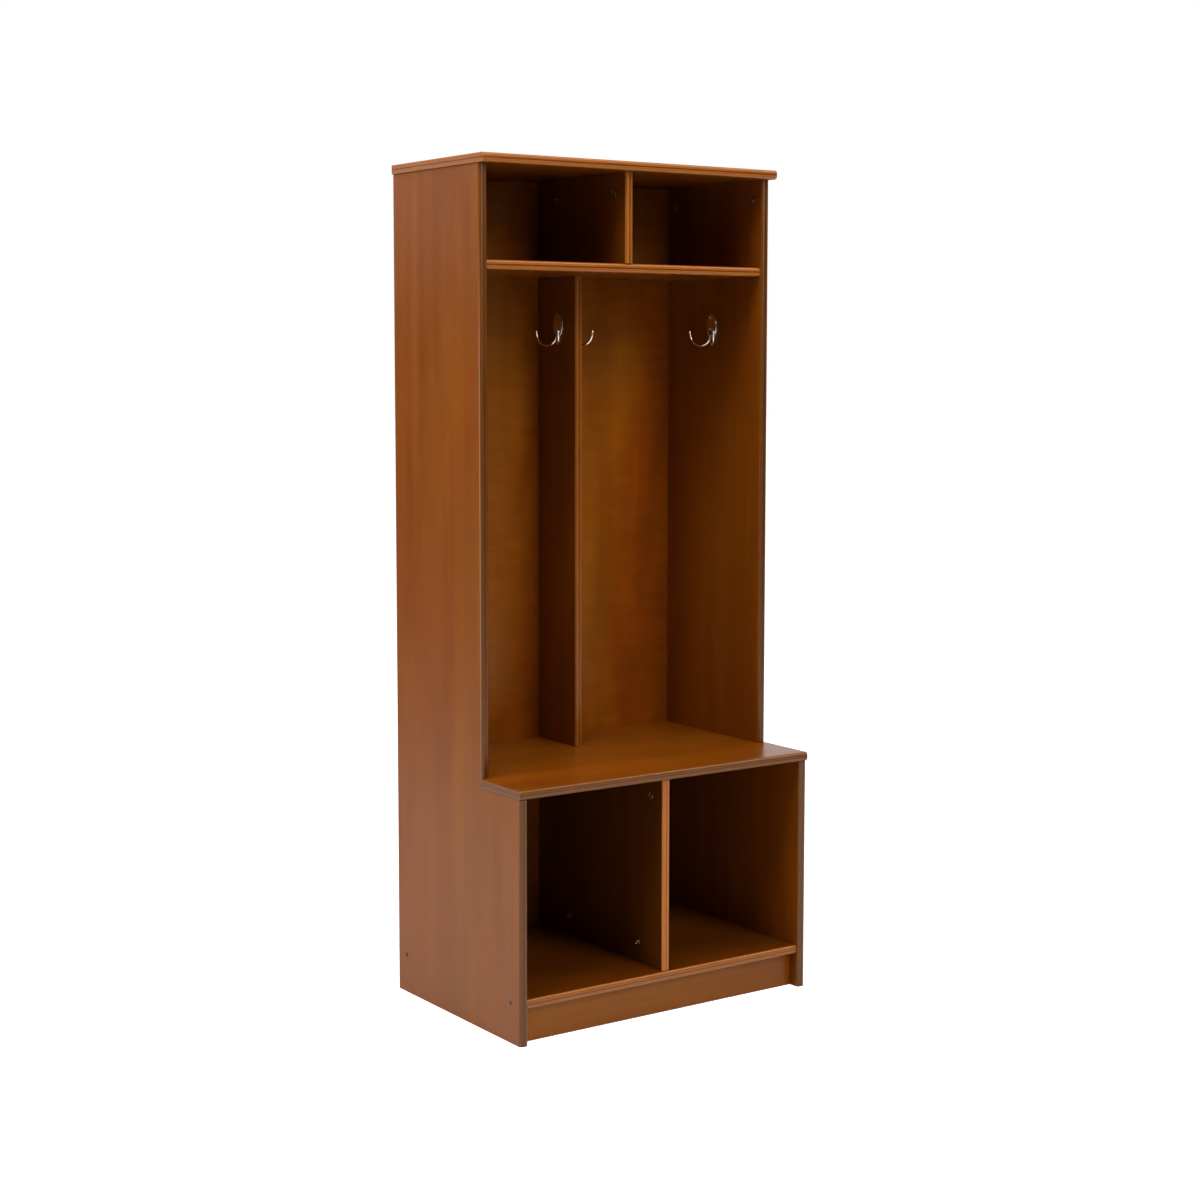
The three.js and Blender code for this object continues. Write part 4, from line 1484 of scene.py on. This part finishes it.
    def build(self) -> list[bpy.types.Mesh]:
        """Makes every cam and bolt.

        Returns:
            The holes that they need.
        """
        zinc, steel = ZINC.material(), STEEL.material()
        cam, bolt = self.cam(), self.bolt(steel)
        pocket = [(0, -self.depth - SEAM), (self.radius + SEAM, -self.depth - SEAM)]
        pocket += [(self.radius + SEAM, self.above), (0, self.above)]
        wide, thread = self.bolt_shank + self.clearance, self.bolt_core + self.bolt_crest + SEAM
        channel = [(0, self.core), (wide, self.core), (wide, self.setback + SEAM / 2)]
        channel += [(thread, self.setback + SEAM / 2), (thread, self.setback + self.bite + MM)]
        channel += [(0, self.setback + self.bite + MM)]
        holes = []
        for label, body, place, out, towards in self.seats():
            turn = Matrix((towards, out.cross(towards), out)).transposed().to_4x4()
            seat = Matrix.Translation(place) @ turn
            add_piece(moved(cam, seat), [f"cam_{label}"], zinc, body)
            bolt_seat = aimed(place - out * self.axis_depth, towards)
            add_piece(moved(bolt, bolt_seat), [f"cam_bolt_{label}"], steel, CASE_BODY)
            holes.append(moved(turned(pocket, self.sides), aimed(place, out)))
            holes.append(moved(turned(channel, self.hole_sides), bolt_seat))
        return holes


@dataclass
class Dowels:
    """Fluted beech dowels, each across the joint of two boards."""

    chamfer: float = 1 * MM
    flutes: int = 16
    flute_depth: float = 0.35 * MM
    hole_spare: float = 1 * MM
    hole_sides: int = 32
    lengths: int = 6  # stretches along the straight part

    def build(self) -> list[bpy.types.Mesh]:
        """Makes every dowel.

        Returns:
            The holes that they need.
        """
        materials = {}
        holes = []
        for node in sorted(n for n in frame["nodes"] if n.startswith("dowel_")):
            low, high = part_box(node)
            size = high - low
            axis = max(range(3), key=lambda i: size[i])
            direction = Vector([float(i == axis) for i in range(3)])
            half, radius = size[axis] / 2, size[(axis + 1) % 3] / 2
            seat = aimed((low + high) / 2, direction)
            if axis not in materials:
                turn = UP.rotation_difference(direction).to_matrix() @ Matrix.Rotation(-math.pi / 2, 3, "Y")
                materials[axis] = BEECH.material(turn)
            rod = grown(
                self.rod(radius, half),
                CUT_FLUTES,
                Flutes=float(self.flutes),
                Depth=self.flute_depth,
                Reach=half - self.chamfer / 2,
                Finish=materials[axis],
            )
            add_piece(moved(rod, seat), [node], materials[axis], CASE_BODY)
            reach = half + self.hole_spare
            hole = [(0, -reach), (radius + SEAM, -reach), (radius + SEAM, reach), (0, reach)]
            holes.append(moved(turned(hole, self.hole_sides), seat))
        return holes

    def rod(self, radius: float, half: float) -> bpy.types.Mesh:
        """A plain dowel, chamfered at both ends.

        Args:
            radius: Its radius.
            half: Half its length.

        Returns:
            The solid, centred on the origin along +Z.
        """
        end = radius - self.chamfer
        straight = rows(radius, self.chamfer - half, half - self.chamfer, self.lengths)
        return turned([(0, -half), (end, -half), *straight, (end, half), (0, half)], 4 * self.flutes)


@dataclass
class Confirmats:
    """The long screws through the side panels into the ends of the bottom shelf."""

    screw: Screw = Screw(
        head_radius=4.8 * MM,
        head_depth=2.5 * MM,
        shank_radius=3.4 * MM,
        shank_length=18 * MM,
        core_radius=2.2 * MM,
        crest=0.7 * MM,
        pitch=3 * MM,
        length=50 * MM,
        sides=32,
    )
    socket_radius: float = 2.3 * MM
    socket_depth: float = 2.2 * MM
    socket_point: float = 1.3  # how deep its drilled middle goes, against its flats

    def build(self) -> list[bpy.types.Mesh]:
        """Makes every screw.

        Returns:
            The holes that they need.
        """
        depth = self.socket_depth
        socket = [(0, -self.socket_point * depth), (self.socket_radius, -depth)]
        socket += [(self.socket_radius, MM), (0, MM)]
        steel = BLUED_STEEL.material()
        made = combined(self.screw.body(steel), [turned(socket, 6)], "DIFFERENCE")
        holes = []
        for node in sorted(n for n in frame["nodes"] if n.startswith("confirmat_")):
            low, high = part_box(node)
            middle = (low + high) / 2
            side = math.copysign(1, middle.x)
            head = Vector((high.x if side > 0 else low.x, middle.y, middle.z))
            seat = aimed(head, Vector((side, 0, 0)))
            add_piece(moved(made, seat), [node], steel, CASE_BODY)
            holes.append(moved(self.screw.hole(SEAM), seat))
        return holes


@dataclass
class CoatHooks:
    """Cast double hooks and their screws. A hook is made with x along the wall and y out from it."""

    plate_width: float = 34 * MM
    plate_height: float = 50 * MM
    plate_thickness: float = 3.5 * MM
    reach: float = 28 * MM
    spread: float = 40 * MM
    dip: float = 40 * MM
    tip_drop: float = 12 * MM
    wire: float = 2.6 * MM
    root_wire: float = 3.4 * MM
    ball: float = 3.4 * MM
    root_drop: float = 17 * MM
    root_radius: float = 5.5 * MM
    root_height: float = 3.2 * MM
    root_round: tuple[float, ...] = (-0.6, 0, 0.4, 0.8, 1.2)  # angles round the root's dome
    root_sides: int = 32
    plate_rim: float = 1.3 * MM
    plate_round: tuple[float, ...] = (0.5, 1.0, math.pi / 2)  # angles round the plate's rim
    plate_crown: float = 0.4 * MM
    plate_steps: int = 72
    screw_heights: tuple[float, float] = (17 * MM, -7 * MM)
    cross: tuple[float, float, float] = (3.6 * MM, 0.85 * MM, 1.3 * MM)  # length, width and depth
    grain: float = 0.4 * MM  # fineness of the fused casting
    smoothing: tuple[float, int] = (0.5, 5)  # how much, how often
    faces_kept: float = 0.35
    screw: Screw = Screw(
        head_radius=3.3 * MM,
        head_depth=2 * MM,
        shank_radius=1.6 * MM,
        shank_length=4 * MM,
        core_radius=1.15 * MM,
        crest=0.45 * MM,
        pitch=1.4 * MM,
        length=14 * MM,
        sides=20,
        rows_per_turn=6,
    )
    facing: dict[str, int] = field(
        default_factory=lambda: {"left_side": 1, "divider_left": -1, "divider_right": 1, "right_side": -1}
    )

    def plate(self) -> bpy.types.Mesh:
        """The oval plate with a rolled rim and a slightly crowned face.

        Returns:
            The solid, its back at y = 0.
        """
        thick, rim = self.plate_thickness, self.plate_rim
        across, up = self.plate_width / 2, self.plate_height / 2
        inward = [(0, 0), (0, thick - rim)]
        inward += [(rim * (1 - math.cos(a)), thick - rim * (1 - math.sin(a))) for a in self.plate_round]
        inward += [(across * share, thick + self.plate_crown * share) for share in (0.35, 0.7)]
        bm = bmesh.new()
        steps = self.plate_steps
        rings = []
        for inset, height in inward:
            wide, tall = across - inset, up - inset
            around = [ROUND * i / steps for i in range(steps)]
            rings.append([bm.verts.new((wide * math.cos(a), height, tall * math.sin(a))) for a in around])
        for low, high in zip(rings, rings[1:]):
            for i in range(steps):
                j = (i + 1) % steps
                bm.faces.new((low[i], low[j], high[j], high[i]))
        bm.faces.new(rings[0])
        bm.faces.new(rings[-1])
        bmesh.ops.recalc_face_normals(bm, faces=bm.faces)
        return mesh_from(bm)

    def hook(self, finish: bpy.types.Material) -> bpy.types.Mesh:
        """One hook: plate, root, two prongs and their balls, fused as one casting.

        Args:
            finish: What it is plated with.

        Returns:
            The solid.
        """
        outwards = Vector((0, 1, 0))
        holes = [
            moved(self.screw.hole(SEAM), aimed(Vector((0, self.plate_thickness, height)), outwards))
            for height in self.screw_heights
        ]
        whole = combined(self.plate(), holes, "DIFFERENCE")
        radius, height = self.root_radius, self.root_height
        boss = [(radius * math.cos(a), height * math.sin(a)) for a in self.root_round]
        boss = [(0, boss[0][1]), *boss, (0, height)]
        face = self.plate_thickness
        root = moved(turned(boss, self.root_sides), aimed(Vector((0, face, -self.root_drop)), outwards))
        whole = merged([whole, root])
        low = -(8 * self.dip - self.root_drop - self.tip_drop) / 6
        for side in (-1, 1):
            start, end = side * self.wire, side * self.spread
            whole = grown(
                whole,
                DRAWN_PRONG,
                Root=(start, face, -self.root_drop),
                Root_Handle=(start, face, low),
                Tip_Handle=(end, self.reach, low),
                Tip=(end, self.reach, -self.tip_drop),
                Root_Radius=self.root_wire,
                Tip_Radius=self.wire,
                Ball_Radius=self.ball,
                Finish=finish,
            )
        smooth, times = self.smoothing
        return modified(
            whole,
            ("REMESH", {"mode": "VOXEL", "voxel_size": self.grain, "use_smooth_shade": True}),
            ("SMOOTH", {"factor": smooth, "iterations": times}),
            ("DECIMATE", {"ratio": self.faces_kept}),
        )

    def build(self) -> list[bpy.types.Mesh]:
        """Makes every hook and its screws.

        Returns:
            The holes that the screws need.
        """
        nickel = BRIGHT_NICKEL.material()
        hook = self.hook(nickel)
        cross = cross_recess(*self.cross)
        screw = combined(self.screw.body(nickel), cross, "DIFFERENCE")
        holes = []
        for label, out in self.facing.items():
            low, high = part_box(f"coat_hook_{label}")
            wall = low.x if out > 0 else high.x
            place = Vector((wall, (low.y + high.y) / 2, high.z - self.plate_height / 2))
            seat = Matrix.Translation(place) @ Matrix.Rotation(-out * math.pi / 2, 4, "Z")
            add_piece(moved(hook, seat), [f"coat_hook_{label}"], nickel, CASE_BODY)
            for end in ("upper", "lower"):
                node = f"hook_screw_{label}_{end}"
                low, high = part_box(node)
                head = (low + high) / 2
                head.x = high.x if out > 0 else low.x
                screw_seat = aimed(head, Vector((out, 0, 0)))
                add_piece(moved(screw, screw_seat), [node], nickel, CASE_BODY)
                holes.append(moved(self.screw.hole(SEAM), screw_seat))
        return holes


@dataclass
class BackScrews:
    """Small screws in rows round the back panels, into the boards that stand against them."""

    inset: float = 4.5 * MM  # from a side panel's inner face
    from_end: float = 45 * MM
    pitch: float = 0.17
    cross: tuple[float, float, float] = (3.4 * MM, 0.8 * MM, 1.2 * MM)  # length, width and depth
    seed: int = 7
    screw: Screw = Screw(
        head_radius=3.2 * MM,
        head_depth=1.9 * MM,
        shank_radius=1.5 * MM,
        shank_length=4 * MM,
        core_radius=1.1 * MM,
        crest=0.4 * MM,
        pitch=1.4 * MM,
        length=20 * MM,
        sides=14,
        rows_per_turn=4,
    )

    def lines(self) -> bpy.types.Mesh:
        """The rows, as one edge for each.

        Returns:
            A mesh of loose edges on the rear faces of the back panels.
        """
        lower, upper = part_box("lower_back_panel"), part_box("upper_back_panel")
        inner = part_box("left_side_panel")[1].x
        side = abs(inner) + self.inset
        rear = lower[1].y
        lines = [((x, panel[0].z), (x, panel[1].z)) for x in (-side, side) for panel in (lower, upper)]
        for board in ("bench_seat", "bottom_shelf"):
            level = sum((corner.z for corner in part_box(board))) / 2
            lines.append(((-side, level), (side, level)))
        split = (lower[1].z + upper[0].z) / 2
        lines += [((-side, split - self.inset), (side, split - self.inset))]
        lines += [((-side, split + self.inset), (side, split + self.inset))]
        bm = bmesh.new()
        for start, end in lines:
            ends = [Vector((x, rear, z)) for x, z in (start, end)]
            step = (ends[1] - ends[0]).normalized() * self.from_end
            bm.edges.new((bm.verts.new(ends[0] + step), bm.verts.new(ends[1] - step)))
        return mesh_from(bm)

    def build(self) -> list[bpy.types.Mesh]:
        """Makes the screws as one piece.

        Returns:
            The holes that they need.
        """
        cross = cross_recess(*self.cross)
        steel = STEEL.material()
        made = []
        for mesh in (combined(self.screw.body(steel), cross, "DIFFERENCE"), self.screw.hole(SEAM)):
            screw = stand_in(mesh)
            inputs = {"Screw": screw, "Pitch": self.pitch, "Seed": self.seed, "Finish": steel}
            made.append(grown(self.lines(), SCREW_ROWS, Aim=(-math.pi / 2, 0.0, 0.0), **inputs))
            bpy.data.objects.remove(screw)
        add_piece(made[0], [], steel, CASE_BODY, name="back_panel_screws")
        return [made[1]]


# ---- Studio ----


@dataclass(frozen=True)
class Softbox:
    """A large soft light, placed by bearing and aimed at the middle of the locker."""

    name: str
    bearing: float  # degrees from the front, and less than 0 to the left
    elevation: float  # degrees
    power: float
    size: tuple[float, float] = (1.8, 1.6)
    distance: float = 5.0
    target: tuple[float, float, float] = (0.0, 0.0, 0.9)

    def build(self) -> None:
        """Makes the light."""
        bearing, elevation = math.radians(self.bearing), math.radians(self.elevation)
        level = math.cos(elevation)
        out = Vector((math.sin(bearing) * level, -math.cos(bearing) * level, math.sin(elevation)))
        data = bpy.data.lights.new(self.name, "AREA")
        data.shape = "RECTANGLE"
        data.size, data.size_y = self.size
        data.energy = self.power
        lamp = bpy.data.objects.new(self.name, data)
        lamp.location = Vector(self.target) + self.distance * out
        lamp.rotation_euler = out.to_track_quat("Z", "Y").to_euler()
        bpy.context.scene.collection.objects.link(lamp)


@dataclass
class Studio:
    """A pale floor, plain soft light and the camera."""

    camera_place: tuple[float, float, float] = (-2.397, -3.417, 1.275)
    yaw: float = math.radians(34.4)  # from +Y towards +X
    pitch: float = math.radians(-5.21)
    lens: float = 63.0
    shift: tuple[float, float] = (0.0171, -0.0425)
    floor_radius: float = 40.0
    floor_glow: tuple[float, float] = (0.62, 1.0)  # what the camera sees besides the light, near and far
    glow_reach: tuple[float, float] = (0.6, 3.2)
    floor_tone: Colour = (0.84, 0.84, 0.84)
    floor_roughness: float = 0.7
    floor_sides: int = 96
    ambient: float = 0.06
    backdrop: tuple[float, float] = (0.55, 0.9)  # cosines between which the world turns white
    lights: tuple[Softbox, ...] = (
        Softbox("front_low", 10, 18, 40),
        Softbox("front_middle", 13, 34, 118),
        Softbox("front_high", -10, 50, 35),
        Softbox("over_left", -50, 63, 95),
        Softbox("left_high", -80, 40, 84, distance=3.0, target=(0, 0, 1.6)),
        Softbox("left_low", -100, 4, 42, distance=3.0, target=(0, 0, 0.5)),
        Softbox("rear_left", -150, 18, 8),
        Softbox("right_strip", 62, 42, 85, size=(0.7, 4.6)),
    )

    def build(self) -> None:
        """Makes the whole studio."""
        self.add_camera()
        self.add_floor()
        self.add_world()
        for light in self.lights:
            light.build()
        view = bpy.context.scene.view_settings
        view.view_transform = "Standard"

    def add_camera(self) -> None:
        """Makes the camera and gives it to the scene."""
        data = bpy.data.cameras.new("camera")
        data.lens = self.lens
        data.shift_x, data.shift_y = self.shift
        camera = bpy.data.objects.new("camera", data)
        camera.location = self.camera_place
        camera.rotation_euler = (math.pi / 2 + self.pitch, 0, -self.yaw)
        bpy.context.scene.collection.objects.link(camera)
        bpy.context.scene.camera = camera

    def add_floor(self) -> None:
        """Makes the floor, a wide pale disc."""
        bm = bmesh.new()
        bmesh.ops.create_circle(bm, cap_ends=True, segments=self.floor_sides, radius=self.floor_radius)
        floor = bpy.data.objects.new("floor", mesh_from(bm, "floor"))
        finish = Finish("pale floor")
        graph = finish.graph
        away = graph.add("ShaderNodeVectorMath", {0: finish.place}, operation="LENGTH").outputs["Value"]
        glow = graph.fade(away, *self.glow_reach, *self.floor_glow)
        seen = graph.add("ShaderNodeLightPath").outputs["Is Camera Ray"]
        finish.set(Base_Color=rgba(self.floor_tone), Roughness=self.floor_roughness)
        finish.set(Emission_Color=rgba((1, 1, 1)), Emission_Strength=graph.math("MULTIPLY", glow, seen))
        floor.data.materials.append(finish.material)
        bpy.context.scene.collection.objects.link(floor)

    def add_world(self) -> None:
        """Makes a world that is white behind the locker and dimmer where it only lights it."""
        world = bpy.data.worlds.new("studio")
        world.use_nodes = True
        world.node_tree.nodes.clear()
        graph = Graph(world.node_tree)
        bpy.context.scene.world = world
        towards = Vector((math.sin(self.yaw), math.cos(self.yaw), 0))
        sight = graph.add("ShaderNodeTexCoord").outputs["Generated"]
        facing = graph.add("ShaderNodeVectorMath", {0: sight, 1: tuple(towards)}, operation="DOT_PRODUCT")
        level = graph.fade(facing.outputs["Value"], *self.backdrop, self.ambient, 1.0)
        seen = graph.add("ShaderNodeLightPath").outputs["Is Camera Ray"]
        strength = graph.math("MAXIMUM", level, seen)
        background = graph.add("ShaderNodeBackground", {"Color": (1, 1, 1, 1), "Strength": strength})
        output = graph.add("ShaderNodeOutputWorld")
        graph.feed(output.inputs["Surface"], background.outputs[0])


def main() -> None:
    """Builds the studio, the fittings and then the boards that they sit in."""
    logging.basicConfig(level=logging.INFO, format="%(name)s %(message)s")
    Studio().build()
    holes = []
    for fittings in (CamLocks(), Dowels(), Confirmats(), CoatHooks(), BackScrews()):
        holes += fittings.build()
    Case().build(holes)


if __name__ == "__main__":
    main()
